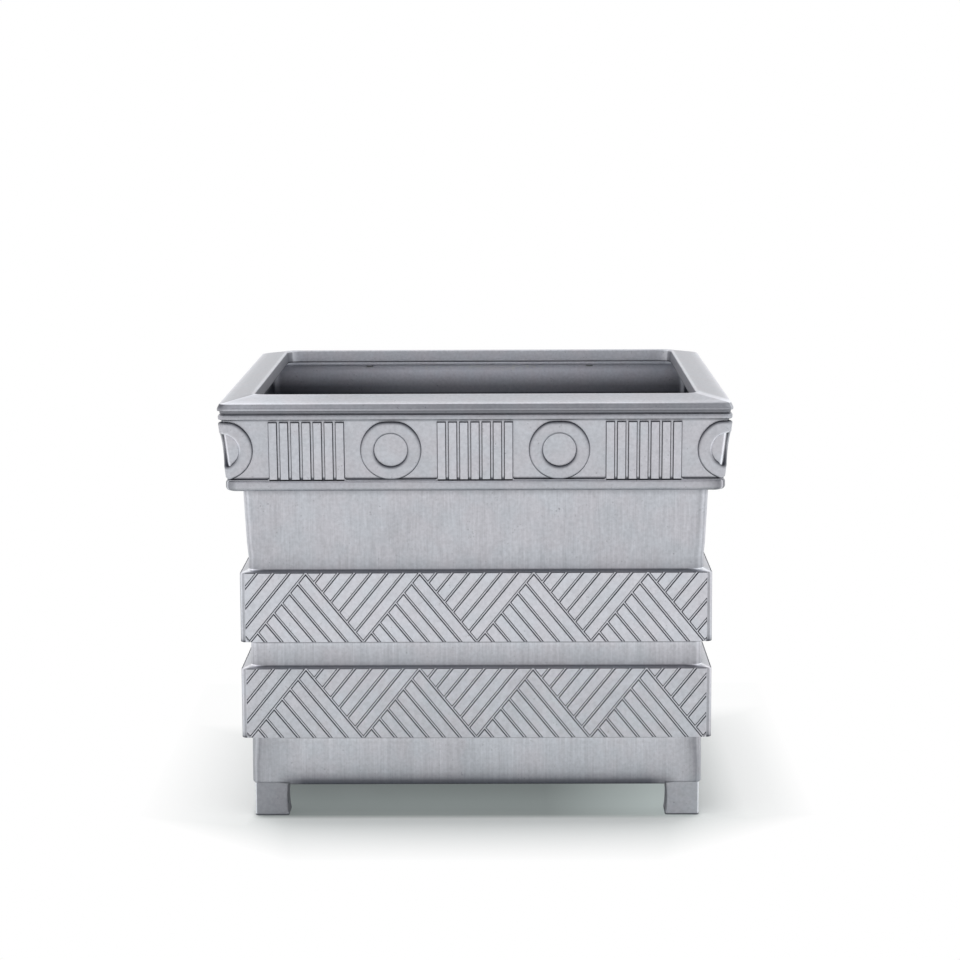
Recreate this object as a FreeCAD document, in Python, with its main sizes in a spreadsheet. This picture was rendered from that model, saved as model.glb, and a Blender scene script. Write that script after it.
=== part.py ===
import FreeCAD, Part
import os

# Driving sizes in millimetres

SIZES = {
    # heights, stacked from the floor up
    "foot_height": 34,
    "base_height": 48,
    "band_height": 68.8,
    "ledge_rise": 2.6,
    "gap_height": 25,
    "wall_height": 81.2,
    "bead_height": 9.5,
    "frieze_height": 60.5,
    "fillet_height": 4.8,
    # overall width, and how far each face of the body stands in from it on every side
    "rim_width": 500,
    "base_inset": 27.5,
    "gap_inset": 26.8,
    "band_inset": 18,
    "wall_foot_inset": 25.8,
    "wall_head_inset": 22,
    "bead_inset": 6.8,
    "frieze_foot_inset": 10.85,
    "frieze_head_inset": 3.9,
    "fillet_inset": 0.7,
    # casting
    "wall": 6,
    "crown_wall": 8,
    "body_corner": 7,
    "band_corner": 6,
    "crown_corner": 3,
    "fillet_corner": 5,
    "bead_corner": 8,
    "bead_round": 4.2,
    "base_edge": 2,
    "inner_corner": 9,
    # top flange and register that carry the rim
    "flange_inset": 29,
    "flange_thickness": 4,
    "register_rise": 3.2,
    "register_inset": 10.3,
    # rim
    "rim_corner": 6,
    "crease_inset": 3.5,
    "crease_rise": 1.4,
    "cove_rise": 2.1,
    "fascia_height": 6.7,
    "slope_rise": 6.5,
    "mouth_inset": 33.3,
    "lip_foot_inset": 30.2,
    "lip_thickness": 5.2,
    "mouth_corner": 10,
    "rim_wall": 5,
    "fit_gap": 0.3,
    # rings of the frieze
    "corner_ring_inset": 4.45,
    "ring_radius": 29,
    "ring_hole_radius": 16.8,
    "ring_raise": 3.7,
    # bars of the frieze
    "bar_pitch": 10.85,
    "bar_width": 8.7,
    "bar_head_gap": 2.6,
    "bar_raise": 2.8,
    # zigzag of the bands
    "zigzag_margin": 8,
    "groove_width": 2.2,
    "groove_depth": 2.4,
    # corner flanges and their bolts
    "web_thickness": 5,
    "web_reach": 27,
    "web_foot_gap": 30,
    "web_head_gap": 34,
    "web_bolt_inset": 11,
    "web_end_gap": 28,
    "bolt_radius": 3,
    "bolt_head_radius": 5.8,
    "bolt_head_height": 4,
    "bolt_stub": 2.5,
    "nut_height": 5,
    "washer_radius": 6.4,
    "washer_thickness": 1.6,
    "bolt_gap": 0.3,
    # feet
    "foot_side": 33.5,
    "foot_inset": 1.5,
    "foot_corner": 1.8,
    "foot_edge": 1,
    "foot_bolt_inset": 23.5,
    "foot_bolt_radius": 4,
    "foot_bolt_head_radius": 6.5,
    "foot_bolt_head_height": 5,
    "foot_bolt_grip": 18,
    "foot_washer_radius": 7.6,
    # bottom plate
    "plate_thickness": 6,
    "drain_radius": 10,
    "drain_pitch": 240,
    "lug_side": 16,
    "lug_thickness": 7,
    "lug_pitch": 220,
    # small screws of the plate and the rim
    "screw_radius": 2,
    "screw_head_radius": 3.8,
    "screw_head_height": 2.6,
    "screw_bite": 5,
    "rim_screw_pitch": 250,
    "rim_rib_width": 12,
    # one overrun for every cut
    "overrun": 1,
}

FILLET = "Part::Fillet"
CHAMFER = "Part::Chamfer"
QUARTER_TURNS = (0, 90, 180, 270)
CORNER_TURNS = (45, 135, 225, 315)
PIN_SIDES = 8
RING_SIDES = 24
BOLTS_PER_CORNER = 2
STEEP = 0.5
LEVEL_TOLERANCE = 1e-5
ZIGZAG_PERIODS = 4

doc = FreeCAD.newDocument("planter")
sheet = doc.addObject("Spreadsheet::Sheet", "sizes")
for row, (alias, value) in enumerate(SIZES.items(), start=1):
    sheet.set(f"A{row}", alias)
    sheet.set(f"B{row}", str(value))
    sheet.setAlias(f"B{row}", alias)
doc.recompute()


def total(*names):
    """Expression for the sum of named sizes."""
    return " + ".join(f"sizes.{name}" for name in names)


def half(face=""):
    """Expression for the distance from the middle to a named face, or to the rim's outer edge."""
    return f"(sizes.rim_width / 2 - sizes.{face}_inset)" if face else "sizes.rim_width / 2"


# Levels above the floor

FOOT_TOP = total("foot_height")
LOW_BAND_FOOT = f"{FOOT_TOP} + {total('base_height')}"
LOW_BAND_HEAD = f"{LOW_BAND_FOOT} + {total('band_height')}"
GAP_FOOT = f"{LOW_BAND_HEAD} + {total('ledge_rise')}"
HIGH_BAND_FOOT = f"{GAP_FOOT} + {total('gap_height')}"
HIGH_BAND_HEAD = f"{HIGH_BAND_FOOT} + {total('band_height')}"
WALL_FOOT = f"{HIGH_BAND_HEAD} + {total('ledge_rise')}"
SOFFIT = f"{WALL_FOOT} + {total('wall_height')}"
FRIEZE_FOOT = f"{SOFFIT} + {total('bead_height')}"
FRIEZE_HEAD = f"{FRIEZE_FOOT} + {total('frieze_height')}"
PANEL_HEAD = f"{FRIEZE_HEAD} + {total('fillet_height')}"
FLANGE_HEAD = f"{PANEL_HEAD} + {total('register_rise')}"
FLANGE_FOOT = f"{FLANGE_HEAD} - {total('flange_thickness')}"
COVE_FOOT = f"{PANEL_HEAD} + {total('crease_rise')}"
FASCIA_FOOT = f"{COVE_FOOT} + {total('cove_rise')}"
FASCIA_HEAD = f"{FASCIA_FOOT} + {total('fascia_height')}"
RIM_HEAD = f"{FASCIA_HEAD} + {total('slope_rise')}"
PLATE_HEAD = f"{FOOT_TOP} + {total('plate_thickness')}"


# Building blocks

def bind(item, **expressions):
    """Tie each named property of an object to an expression."""
    for name, expression in expressions.items():
        item.setExpression(name, expression)
    return item


def place(item, x="0", y="0", z="0"):
    """Tie an object's position to three expressions."""
    for axis, expression in (("x", x), ("y", y), ("z", z)):
        item.setExpression(f"Placement.Base.{axis}", expression)
    return item


def turn(item, axis, degrees):
    """Turn an object about an axis through its own origin."""
    item.Placement.Rotation = FreeCAD.Rotation(axis, degrees)
    return item


def box(name, length, width, height, x="0", y="0", z="0"):
    """Block whose sizes and low corner are expressions."""
    item = doc.addObject("Part::Box", name)
    bind(item, Length=length, Width=width, Height=height)
    return place(item, x, y, z)


def rod(name, radius, length, x="0", y="0", z="0"):
    """Upright cylinder that starts at a place."""
    item = doc.addObject("Part::Cylinder", name)
    bind(item, Radius=radius, Height=length)
    return place(item, x, y, z)


def prism(name, radius, length, x="0", y="0", z="0", axis=FreeCAD.Vector(0, 0, 1), degrees=0, sides=6):
    """Prism that starts at a place and may be turned to lie along another axis, six-sided for heads and nuts."""
    item = doc.addObject("Part::Prism", name)
    item.Polygon = sides
    bind(item, Circumradius=radius, Height=length)
    turn(item, axis, degrees)
    return place(item, x, y, z)


def pin(name, radius, length, **lie):
    """Small shank, washer or hole of a fastener, which repeats and so has few sides."""
    return prism(name, radius, length, sides=PIN_SIDES, **lie)


def fuse(name, items):
    """Union of several objects."""
    item = doc.addObject("Part::MultiFuse", name)
    item.Shapes = items
    item.Refine = True
    return item


def common(name, first, second):
    """What two objects share."""
    item = doc.addObject("Part::MultiCommon", name)
    item.Shapes = [first, second]
    return item


def cut(name, base, tool):
    """One object less another."""
    item = doc.addObject("Part::Cut", name)
    item.Base = base
    item.Tool = tool
    return item


def group(name, items):
    """Several separate solids kept together."""
    item = doc.addObject("Part::Compound", name)
    item.Links = items
    return item


def turned(name, source, degrees):
    """Copy of an object turned about the upright axis through the middle of the planter."""
    item = group(name, [source])
    return turn(item, FreeCAD.Vector(0, 0, 1), degrees)


def all_round(name, source, turns=QUARTER_TURNS):
    """The same object at all four sides or corners."""
    return group(name, [turned(f"{name}_{degrees}", source, degrees) for degrees in turns])


def corner_edges(item):
    """Numbers of the four edges at the corners of a square block."""
    doc.recompute()
    edges = enumerate(item.Shape.Edges, start=1)
    return [number for number, edge in edges if abs(edge.tangentAt(edge.FirstParameter).z) > STEEP]


def level_edges(item, level):
    """Numbers of the edges that lie at one height."""
    doc.recompute()
    height = doc.sizes.evalExpression(level)
    height = getattr(height, "Value", height)
    found = []
    for number, edge in enumerate(item.Shape.Edges, start=1):
        bounds = edge.BoundBox
        if max(abs(bounds.ZMin - height), abs(bounds.ZMax - height)) < LEVEL_TOLERANCE:
            found.append(number)
    return found


def soften(name, base, edges, radius, kind=FILLET):
    """Round or chamfer chosen edges of an object by a named radius."""
    item = doc.addObject(kind, name)
    item.Base = base
    size = float(sheet.get(radius))
    item.Edges = [(number, size, size) for number in edges]
    return item


def block(name, foot_half, head_half, foot, head, corner="", kind=FILLET):
    """Square block between two levels, its sides upright or sloping, its corners rounded or chamfered."""
    core = doc.addObject("Part::Wedge", f"{name}_core" if corner else name)
    bind(
        core,
        Xmin=f"-({foot_half})", Xmax=foot_half, Zmin=f"-({foot_half})", Zmax=foot_half,
        X2min=f"-({head_half})", X2max=head_half, Z2min=f"-({head_half})", Z2max=head_half,
        Ymin=foot, Ymax=head,
    )
    turn(core, FreeCAD.Vector(1, 0, 0), 90)
    if not corner:
        return core
    return soften(name, core, corner_edges(core), corner, kind)


def hollow(name, foot_half, head_half, foot, head):
    """Square block with chamfered corners, to be taken out of the inside."""
    return block(name, foot_half, head_half, foot, head, "inner_corner", CHAMFER)


# Outside of the body: base, two bands with sloping ledges, wall, and the crown with its bead and frieze

base_block = block("base_block", half("base"), half("base"), FOOT_TOP, LOW_BAND_FOOT, "body_corner")
base_zone = soften("base_zone", base_block, level_edges(base_block, FOOT_TOP), "base_edge", CHAMFER)


def band_zone(name, foot, head, wall_face):
    """Projecting band with the ledge that slopes back from its top edge to the wall above."""
    ledge_head = f"{head} + sizes.ledge_rise"
    outline = block(f"{name}_outline", half("band"), half("band"), foot, ledge_head, "band_corner")
    face = block(f"{name}_face", half("band"), half("band"), foot, head)
    ledge = block(f"{name}_ledge", half("band"), half(wall_face), head, ledge_head)
    return common(name, outline, fuse(f"{name}_block", [face, ledge]))


low_band = band_zone("low_band", LOW_BAND_FOOT, LOW_BAND_HEAD, "gap")
gap_zone = block("gap_zone", half("gap"), half("gap"), LOW_BAND_HEAD, HIGH_BAND_FOOT, "body_corner")
high_band = band_zone("high_band", HIGH_BAND_FOOT, HIGH_BAND_HEAD, "wall_foot")
wall_zone = block(
    "wall_zone", half("wall_foot"), half("wall_head"), HIGH_BAND_HEAD, SOFFIT, "body_corner"
)
bead_outline = block("bead_outline", half("bead"), half("bead"), SOFFIT, FRIEZE_FOOT, "bead_corner")
bead_block = block("bead_block", half("bead"), half("bead"), SOFFIT, FRIEZE_FOOT)
bead_edges = level_edges(bead_block, SOFFIT) + level_edges(bead_block, FRIEZE_FOOT)
bead_zone = common("bead_zone", bead_outline, soften("bead_round_block", bead_block, bead_edges, "bead_round"))
frieze_zone = block(
    "frieze_zone",
    half("frieze_foot"), half("frieze_head"), f"{FRIEZE_FOOT} - sizes.bead_round", FRIEZE_HEAD,
    "crown_corner", CHAMFER,
)
fillet_zone = block(
    "fillet_zone", half("fillet"), half("fillet"), FRIEZE_HEAD, PANEL_HEAD, "fillet_corner"
)
register_zone = block(
    "register_zone", half("register"), half("register"), PANEL_HEAD, FLANGE_HEAD,
    "crown_corner", CHAMFER,
)
outside = fuse(
    "outside",
    [base_zone, low_band, gap_zone, high_band, wall_zone, bead_zone, frieze_zone, fillet_zone, register_zone],
)

# Inside of the body, one wall behind each zone, so that the castings keep an even thickness


def inner(face, thickness="wall"):
    """Distance from the middle to the inside behind a face."""
    return f"{half(face)} - sizes.{thickness}"


CUT_FOOT = f"{FOOT_TOP} - sizes.overrun"
LOW_RECESS_FOOT = f"{LOW_BAND_FOOT} + sizes.wall"
LOW_RECESS_HEAD = f"{LOW_BAND_HEAD} - sizes.wall"
HIGH_RECESS_FOOT = f"{HIGH_BAND_FOOT} + sizes.wall"
HIGH_RECESS_HEAD = f"{HIGH_BAND_HEAD} - sizes.wall"
CROWN_FOOT = f"{SOFFIT} + sizes.wall"
CUT_HEAD = f"{FLANGE_HEAD} + sizes.overrun"

inside = fuse(
    "inside",
    [
        hollow("base_hollow", inner("base"), inner("base"), CUT_FOOT, LOW_RECESS_FOOT),
        hollow("low_recess", inner("band"), inner("band"), LOW_RECESS_FOOT, LOW_RECESS_HEAD),
        hollow("gap_hollow", inner("gap"), inner("gap"), LOW_RECESS_HEAD, HIGH_RECESS_FOOT),
        hollow("high_recess", inner("band"), inner("band"), HIGH_RECESS_FOOT, HIGH_RECESS_HEAD),
        hollow("wall_hollow", inner("wall_foot"), inner("wall_head"), HIGH_RECESS_HEAD, CROWN_FOOT),
        hollow(
            "crown_hollow",
            inner("frieze_foot"), inner("frieze_head", "crown_wall"), CROWN_FOOT, FLANGE_FOOT,
        ),
        hollow("flange_mouth", half("flange"), half("flange"), FLANGE_FOOT, CUT_HEAD),
    ],
)

# Flanges on the mitres inside the corners, and lugs that the bottom plate is screwed to

WEB_FOOT = f"{FOOT_TOP} + sizes.plate_thickness + sizes.web_foot_gap"
WEB_HEAD = f"{SOFFIT} - sizes.web_head_gap"
CORNER_REACH = f"({inner('gap')}) * sqrt(2) - sizes.inner_corner / sqrt(2)"
WEB_START = f"{CORNER_REACH} - sizes.web_reach"
BOLT_REACH = f"{WEB_START} + sizes.web_bolt_inset"

web = box(
    "web", "sizes.rim_width / 2", "2 * sizes.web_thickness", f"{WEB_HEAD} - ({WEB_FOOT})",
    x=WEB_START, y="-sizes.web_thickness", z=WEB_FOOT,
)
LUG_REACH = f"{inner('base')} - sizes.lug_side"
lug_blocks = [
    box(
        f"lug_{number}", "sizes.lug_side", "sizes.rim_width / 2", "sizes.lug_thickness",
        x=f"{side} * sizes.lug_pitch / 2 - sizes.lug_side / 2", y=LUG_REACH, z=PLATE_HEAD,
    )
    for number, side in enumerate((-1, 1))
]
inner_forms = fuse("inner_forms", [all_round("webs", web, CORNER_TURNS), all_round("lugs", group("lug", lug_blocks))])
walls = cut("walls", outside, cut("soil_space", inside, inner_forms))

# Holes for the corner bolts, the plate screws and the rim screws

SIDEWAYS = FreeCAD.Vector(1, 0, 0)
BOLT_SPAN = f"{WEB_HEAD} - ({WEB_FOOT}) - 2 * sizes.web_end_gap"
BOLT_LEVELS = [
    f"{WEB_FOOT} + sizes.web_end_gap + {step} * ({BOLT_SPAN}) / {BOLTS_PER_CORNER - 1}"
    for step in range(BOLTS_PER_CORNER)
]

bolt_hole_radius = "sizes.bolt_radius + sizes.bolt_gap"
bolt_hole_length = "2 * sizes.web_thickness + 2 * sizes.overrun"
bolt_holes = [
    pin(
        f"bolt_hole_{number}", bolt_hole_radius, bolt_hole_length,
        x=BOLT_REACH, y="sizes.web_thickness + sizes.overrun", z=level, axis=SIDEWAYS, degrees=90,
    )
    for number, level in enumerate(BOLT_LEVELS)
]

screw_hole_radius = "sizes.screw_radius + sizes.bolt_gap"
LUG_SCREW_REACH = f"{LUG_REACH} + sizes.lug_side / 2"
lug_holes = [
    pin(
        f"lug_hole_{number}", screw_hole_radius, "sizes.lug_thickness + 2 * sizes.overrun",
        x=f"{side} * sizes.lug_pitch / 2", y=LUG_SCREW_REACH, z=f"{PLATE_HEAD} - sizes.overrun",
    )
    for number, side in enumerate((-1, 1))
]
RIM_SCREW_REACH = f"({half('flange')} + {half('register')}) / 2"
flange_holes = [
    pin(
        f"flange_hole_{number}", screw_hole_radius, "sizes.flange_thickness + 2 * sizes.overrun",
        x=f"{side} * sizes.rim_screw_pitch / 2", y=RIM_SCREW_REACH, z=f"{FLANGE_FOOT} - sizes.overrun",
    )
    for number, side in enumerate((-1, 1))
]
body_holes = group(
    "body_holes",
    [
        all_round("bolt_holes", group("bolt_hole", bolt_holes), CORNER_TURNS),
        all_round("side_holes", group("side_hole", lug_holes + flange_holes)),
    ],
)
drilled_walls = cut("drilled_walls", walls, body_holes)

# Frieze relief: two rings on each side and one wrapped round each corner, with groups of bars between them

FRIEZE_MIDDLE = f"{FRIEZE_FOOT} + sizes.frieze_height / 2"
CORE_SINK = "sizes.crown_wall / 2"


def raised_skin(name, raise_name):
    """Skin of the frieze that stands out from its ground, with its back sunk in the wall."""
    foot_half = f"{half('frieze_foot')} + sizes.{raise_name}"
    head_half = f"{half('frieze_head')} + sizes.{raise_name}"
    full = block(f"{name}_full", foot_half, head_half, FRIEZE_FOOT, FRIEZE_HEAD, "crown_corner", CHAMFER)
    core = block(
        f"{name}_core_cut",
        f"{half('frieze_foot')} - {CORE_SINK}", f"{half('frieze_head')} - {CORE_SINK}",
        FRIEZE_FOOT, FRIEZE_HEAD,
    )
    return cut(name, full, core)


def ring(name, x):
    """Flat ring standing out to the front, with few sides because rings repeat all round."""
    lie = {"x": x, "z": FRIEZE_MIDDLE, "axis": SIDEWAYS, "degrees": 90, "sides": RING_SIDES}
    disc = prism(f"{name}_disc", "sizes.ring_radius", "sizes.rim_width", **lie)
    hole = prism(f"{name}_hole", "sizes.ring_hole_radius", "sizes.rim_width", **lie)
    return cut(name, disc, hole)


def bars(name, middle):
    """Seven upright bars standing out to the front."""
    height = "sizes.frieze_height - sizes.bar_head_gap"
    return [
        box(
            f"{name}_{step + 3}", "sizes.bar_width", "sizes.rim_width", height,
            x=f"{middle} + {step} * sizes.bar_pitch - sizes.bar_width / 2", y="-sizes.rim_width", z=FRIEZE_FOOT,
        )
        for step in range(-3, 4)
    ]


RING_PITCH = "(sizes.rim_width - 2 * sizes.corner_ring_inset) / 3"
ring_places = [f"{step} * {RING_PITCH} / 2" for step in (-3, -1, 1, 3)]
rings = group("rings", [ring(f"ring_{number}", x) for number, x in enumerate(ring_places)])
bar_places = [f"{step} * {RING_PITCH}" for step in (-1, 0, 1)]
bar_groups = group("bar_groups", [bar for number, x in enumerate(bar_places) for bar in bars(f"bar_{number}", x)])
ring_relief = common("ring_relief", raised_skin("ring_skin", "ring_raise"), rings)
bar_relief = common("bar_relief", raised_skin("bar_skin", "bar_raise"), bar_groups)

# Zigzag relief: grooves of two slants line each band out in triangles

PERIOD = f"(2 * ({half('band')} - sizes.zigzag_margin) / {ZIGZAG_PERIODS})"
GROOVE_RUN = f"sqrt(pow(sizes.band_height; 2) + pow({PERIOD} / 2; 2))"
RISE = f"(sizes.band_height / {GROOVE_RUN})"
SPREAD = f"({PERIOD} / 2 / {GROOVE_RUN})"
FORWARD = FreeCAD.Vector(0, -1, 0)
RISING, FALLING = 1, -1


def groove(name, x, z, slant):
    """Groove across a band from one point of its face, up to the right if rising and down if falling."""
    item = box(
        name, f"{GROOVE_RUN} + sizes.groove_width", "sizes.groove_depth + sizes.overrun", "sizes.groove_width",
        x=f"{x} + {slant} * sizes.groove_width / 2 * {RISE}",
        y=f"-{half('band')} - sizes.overrun",
        z=f"{z} - sizes.groove_width / 2 * {SPREAD}",
    )
    turn(item, FORWARD, 45)
    item.setExpression("Placement.Rotation.Angle", f"{slant} * asin({RISE})")
    return item


def zigzag_grooves(name, foot, slant):
    """All the grooves of one slant: rising ones start on the band's foot, falling ones at the peaks between."""
    start, lag = (foot, 0) if slant == RISING else (f"{foot} + sizes.band_height", 0.5)
    places = [f"({number + lag - ZIGZAG_PERIODS / 2}) * {PERIOD}" for number in range(ZIGZAG_PERIODS)]
    return group(name, [groove(f"{name}_{number}", x, start, slant) for number, x in enumerate(places)])


# One side of the body between two mitres, used four times

quarter = box("quarter", "sizes.rim_width", "sizes.rim_width", RIM_HEAD)
turn(quarter, FreeCAD.Vector(0, 0, 1), -135)
side_form = fuse("side_form", [drilled_walls, ring_relief, bar_relief])
front_panel = common("plain_panel", side_form, quarter)
for band_name, band_foot in (("low_zigzag", LOW_BAND_FOOT), ("high_zigzag", HIGH_BAND_FOOT)):
    for slant_name, slant in (("rising", RISING), ("falling", FALLING)):
        grooves = zigzag_grooves(f"{band_name}_{slant_name}", band_foot, slant)
        front_panel = cut(f"{grooves.Name}_cut", front_panel, grooves)
front_panel.Label = "front_panel"
right_panel = turned("right_panel", front_panel, 90)
back_panel = turned("back_panel", front_panel, 180)
left_panel = turned("left_panel", front_panel, 270)

# Rim: a coping with a sloping top, open underneath but for ribs that take screws, lapping over the panels' register

rim_outline = block("rim_outline", half(), half(), PANEL_HEAD, RIM_HEAD, "rim_corner")
crease = block("rim_crease", half("crease"), half("crease"), PANEL_HEAD, COVE_FOOT)
cove = block("rim_cove", half("crease"), half(), COVE_FOOT, FASCIA_FOOT)
fascia = block("rim_fascia", half(), half(), FASCIA_FOOT, FASCIA_HEAD)
slope = block("rim_slope", half(), half("mouth"), FASCIA_HEAD, RIM_HEAD)
rim_solid = common("rim_solid", fuse("rim_block", [crease, cove, fascia, slope]), rim_outline)
LIP_OUTER = f"{half('lip_foot')} + sizes.lip_thickness"
REGISTER_FIT = f"{half('register')} + sizes.fit_gap"
TROUGH_HEAD = f"{FASCIA_HEAD} - sizes.rim_wall / 2"
mouth = block(
    "mouth", half("lip_foot"), half("mouth"), FLANGE_HEAD, RIM_HEAD, "mouth_corner"
)
foot_opening = block(
    "rim_foot_opening", REGISTER_FIT, REGISTER_FIT, PANEL_HEAD, FLANGE_HEAD, "crown_corner", CHAMFER
)
trough_outside = block(
    "trough_outside", REGISTER_FIT, REGISTER_FIT, FLANGE_HEAD, TROUGH_HEAD, "crown_corner", CHAMFER
)
trough_inside = block("trough_inside", LIP_OUTER, LIP_OUTER, FLANGE_HEAD, TROUGH_HEAD, "mouth_corner", CHAMFER)
trough = cut("trough", trough_outside, trough_inside)
RIB_LENGTH = f"{REGISTER_FIT} - ({LIP_OUTER}) + 2 * sizes.overrun"
RIB_HEIGHT = f"{TROUGH_HEAD} - ({FLANGE_HEAD}) + sizes.overrun"
rib_pair = [
    box(
        f"rim_rib_{number}", "sizes.rim_rib_width", RIB_LENGTH, RIB_HEIGHT,
        x=f"({side} * sizes.rim_screw_pitch - sizes.rim_rib_width) / 2",
        y=f"{LIP_OUTER} - sizes.overrun", z=FLANGE_HEAD,
    )
    for number, side in enumerate((-1, 1))
]
rib_holes = [
    pin(
        f"rib_hole_{number}", screw_hole_radius, "sizes.screw_bite + sizes.overrun",
        x=f"{side} * sizes.rim_screw_pitch / 2", y=RIM_SCREW_REACH, z=FLANGE_HEAD,
    )
    for number, side in enumerate((-1, 1))
]
rim_shell = cut("rim_shell", rim_solid, fuse("rim_openings", [mouth, foot_opening, trough]))
rim_ribbed = fuse("rim_ribbed", [rim_shell, all_round("rim_ribs", group("rim_rib", rib_pair))])
rim_frame = cut("rim_frame", rim_ribbed, all_round("rib_holes", group("rib_hole", rib_holes)))

# Bottom plate with drain holes

PLATE_HALF = f"{inner('base')} - sizes.fit_gap"
plate_blank = block("plate_blank", PLATE_HALF, PLATE_HALF, FOOT_TOP, PLATE_HEAD, "inner_corner", CHAMFER)
PLATE_CUT = "sizes.plate_thickness + 2 * sizes.overrun"
middle_drain = rod("middle_drain", "sizes.drain_radius", PLATE_CUT, z=CUT_FOOT)
outer_drain = rod(
    "outer_drain", "sizes.drain_radius", PLATE_CUT,
    x="sizes.drain_pitch / 2", y="sizes.drain_pitch / 2", z=CUT_FOOT,
)
FOOT_BOLT_PLACE = f"{half('base')} - sizes.foot_bolt_inset"
foot_bolt_hole = pin(
    "foot_bolt_hole", "sizes.foot_bolt_radius + sizes.bolt_gap", PLATE_CUT,
    x=FOOT_BOLT_PLACE, y=FOOT_BOLT_PLACE, z=CUT_FOOT,
)
plate_screw_holes = [
    pin(
        f"plate_screw_hole_{number}", screw_hole_radius, PLATE_CUT,
        x=f"{side} * sizes.lug_pitch / 2", y=LUG_SCREW_REACH, z=CUT_FOOT,
    )
    for number, side in enumerate((-1, 1))
]
plate_side_cuts = group("plate_side_cuts", [outer_drain, foot_bolt_hole, *plate_screw_holes])
plate_cuts = group("plate_cuts", [middle_drain, all_round("plate_round_cuts", plate_side_cuts)])
bottom_plate = cut("bottom_plate", plate_blank, plate_cuts)

# Feet: cast blocks under the corners, drilled from above for one bolt each

FOOT_PLACE = f"{half('base')} - sizes.foot_inset - sizes.foot_side"
foot_blank = box("foot_blank", "sizes.foot_side", "sizes.foot_side", FOOT_TOP, x=FOOT_PLACE, y=FOOT_PLACE)
foot_rounded = soften("foot_rounded", foot_blank, corner_edges(foot_blank), "foot_corner", CHAMFER)
foot_edges = level_edges(foot_rounded, "0 * sizes.foot_height")
foot_body = soften("foot_body", foot_rounded, foot_edges, "foot_edge", CHAMFER)
foot_hole = pin(
    "foot_hole", "sizes.foot_bolt_radius + sizes.bolt_gap", "sizes.foot_bolt_grip + 2 * sizes.overrun",
    x=FOOT_BOLT_PLACE, y=FOOT_BOLT_PLACE, z=f"{FOOT_TOP} - sizes.foot_bolt_grip - sizes.overrun",
)
foot_back_right = cut("foot_back_right", foot_body, foot_hole)
foot_back_left = turned("foot_back_left", foot_back_right, 90)
foot_front_left = turned("foot_front_left", foot_back_right, 180)
foot_front_right = turned("foot_front_right", foot_back_right, 270)

# Fasteners

HEAD_FACE = "sizes.web_thickness + sizes.washer_thickness"


def corner_bolt(number, level):
    """Hexagon bolt through a pair of corner flanges, its head on the far side of a washer."""
    grip = "2 * sizes.web_thickness + sizes.washer_thickness + sizes.nut_height + sizes.bolt_stub"
    shank = pin(
        f"bolt_shank_{number}", "sizes.bolt_radius", grip,
        x=BOLT_REACH, y=HEAD_FACE, z=level, axis=SIDEWAYS, degrees=90,
    )
    head = prism(
        f"bolt_head_{number}", "sizes.bolt_head_radius", "sizes.bolt_head_height",
        x=BOLT_REACH, y=f"{HEAD_FACE} + sizes.bolt_head_height", z=level, axis=SIDEWAYS, degrees=90,
    )
    return fuse(f"bolt_{number}", [shank, head])


def corner_washer(number, level):
    """Washer between a bolt head and its flange."""
    lie = {"x": BOLT_REACH, "y": HEAD_FACE, "z": level, "axis": SIDEWAYS, "degrees": 90}
    disc = pin(f"washer_disc_{number}", "sizes.washer_radius", "sizes.washer_thickness", **lie)
    hole = pin(f"washer_hole_{number}", bolt_hole_radius, "sizes.washer_thickness", **lie)
    return cut(f"washer_{number}", disc, hole)


def corner_nut(number, level):
    """Nut on the end of a corner bolt."""
    lie = {"x": BOLT_REACH, "y": "-sizes.web_thickness", "z": level, "axis": SIDEWAYS, "degrees": 90}
    body = prism(f"nut_body_{number}", "sizes.bolt_head_radius", "sizes.nut_height", **lie)
    hole = pin(f"nut_hole_{number}", bolt_hole_radius, "sizes.nut_height", **lie)
    return cut(f"nut_{number}", body, hole)


def corner_set(name, maker):
    """One kind of fastener at every level of every corner."""
    column = group(f"{name}_column", [maker(number, level) for number, level in enumerate(BOLT_LEVELS)])
    return all_round(name, column, CORNER_TURNS)


corner_bolts = corner_set("corner_bolts", corner_bolt)
corner_washers = corner_set("corner_washers", corner_washer)
corner_nuts = corner_set("corner_nuts", corner_nut)

FOOT_HEAD_FACE = f"{PLATE_HEAD} + sizes.washer_thickness"
foot_at = {"x": FOOT_BOLT_PLACE, "y": FOOT_BOLT_PLACE}
foot_shank = pin(
    "foot_shank", "sizes.foot_bolt_radius", f"{FOOT_HEAD_FACE} - ({FOOT_TOP}) + sizes.foot_bolt_grip",
    z=f"{FOOT_TOP} - sizes.foot_bolt_grip", **foot_at,
)
foot_head = prism(
    "foot_head", "sizes.foot_bolt_head_radius", "sizes.foot_bolt_head_height", z=FOOT_HEAD_FACE, **foot_at
)
foot_bolts = all_round("foot_bolts", fuse("foot_bolt", [foot_shank, foot_head]))
foot_washer_disc = pin(
    "foot_washer_disc", "sizes.foot_washer_radius", "sizes.washer_thickness", z=PLATE_HEAD, **foot_at
)
foot_washer_hole = pin(
    "foot_washer_hole", "sizes.foot_bolt_radius + sizes.bolt_gap", "sizes.washer_thickness", z=PLATE_HEAD, **foot_at
)
foot_washers = all_round("foot_washers", cut("foot_washer", foot_washer_disc, foot_washer_hole))


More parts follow.
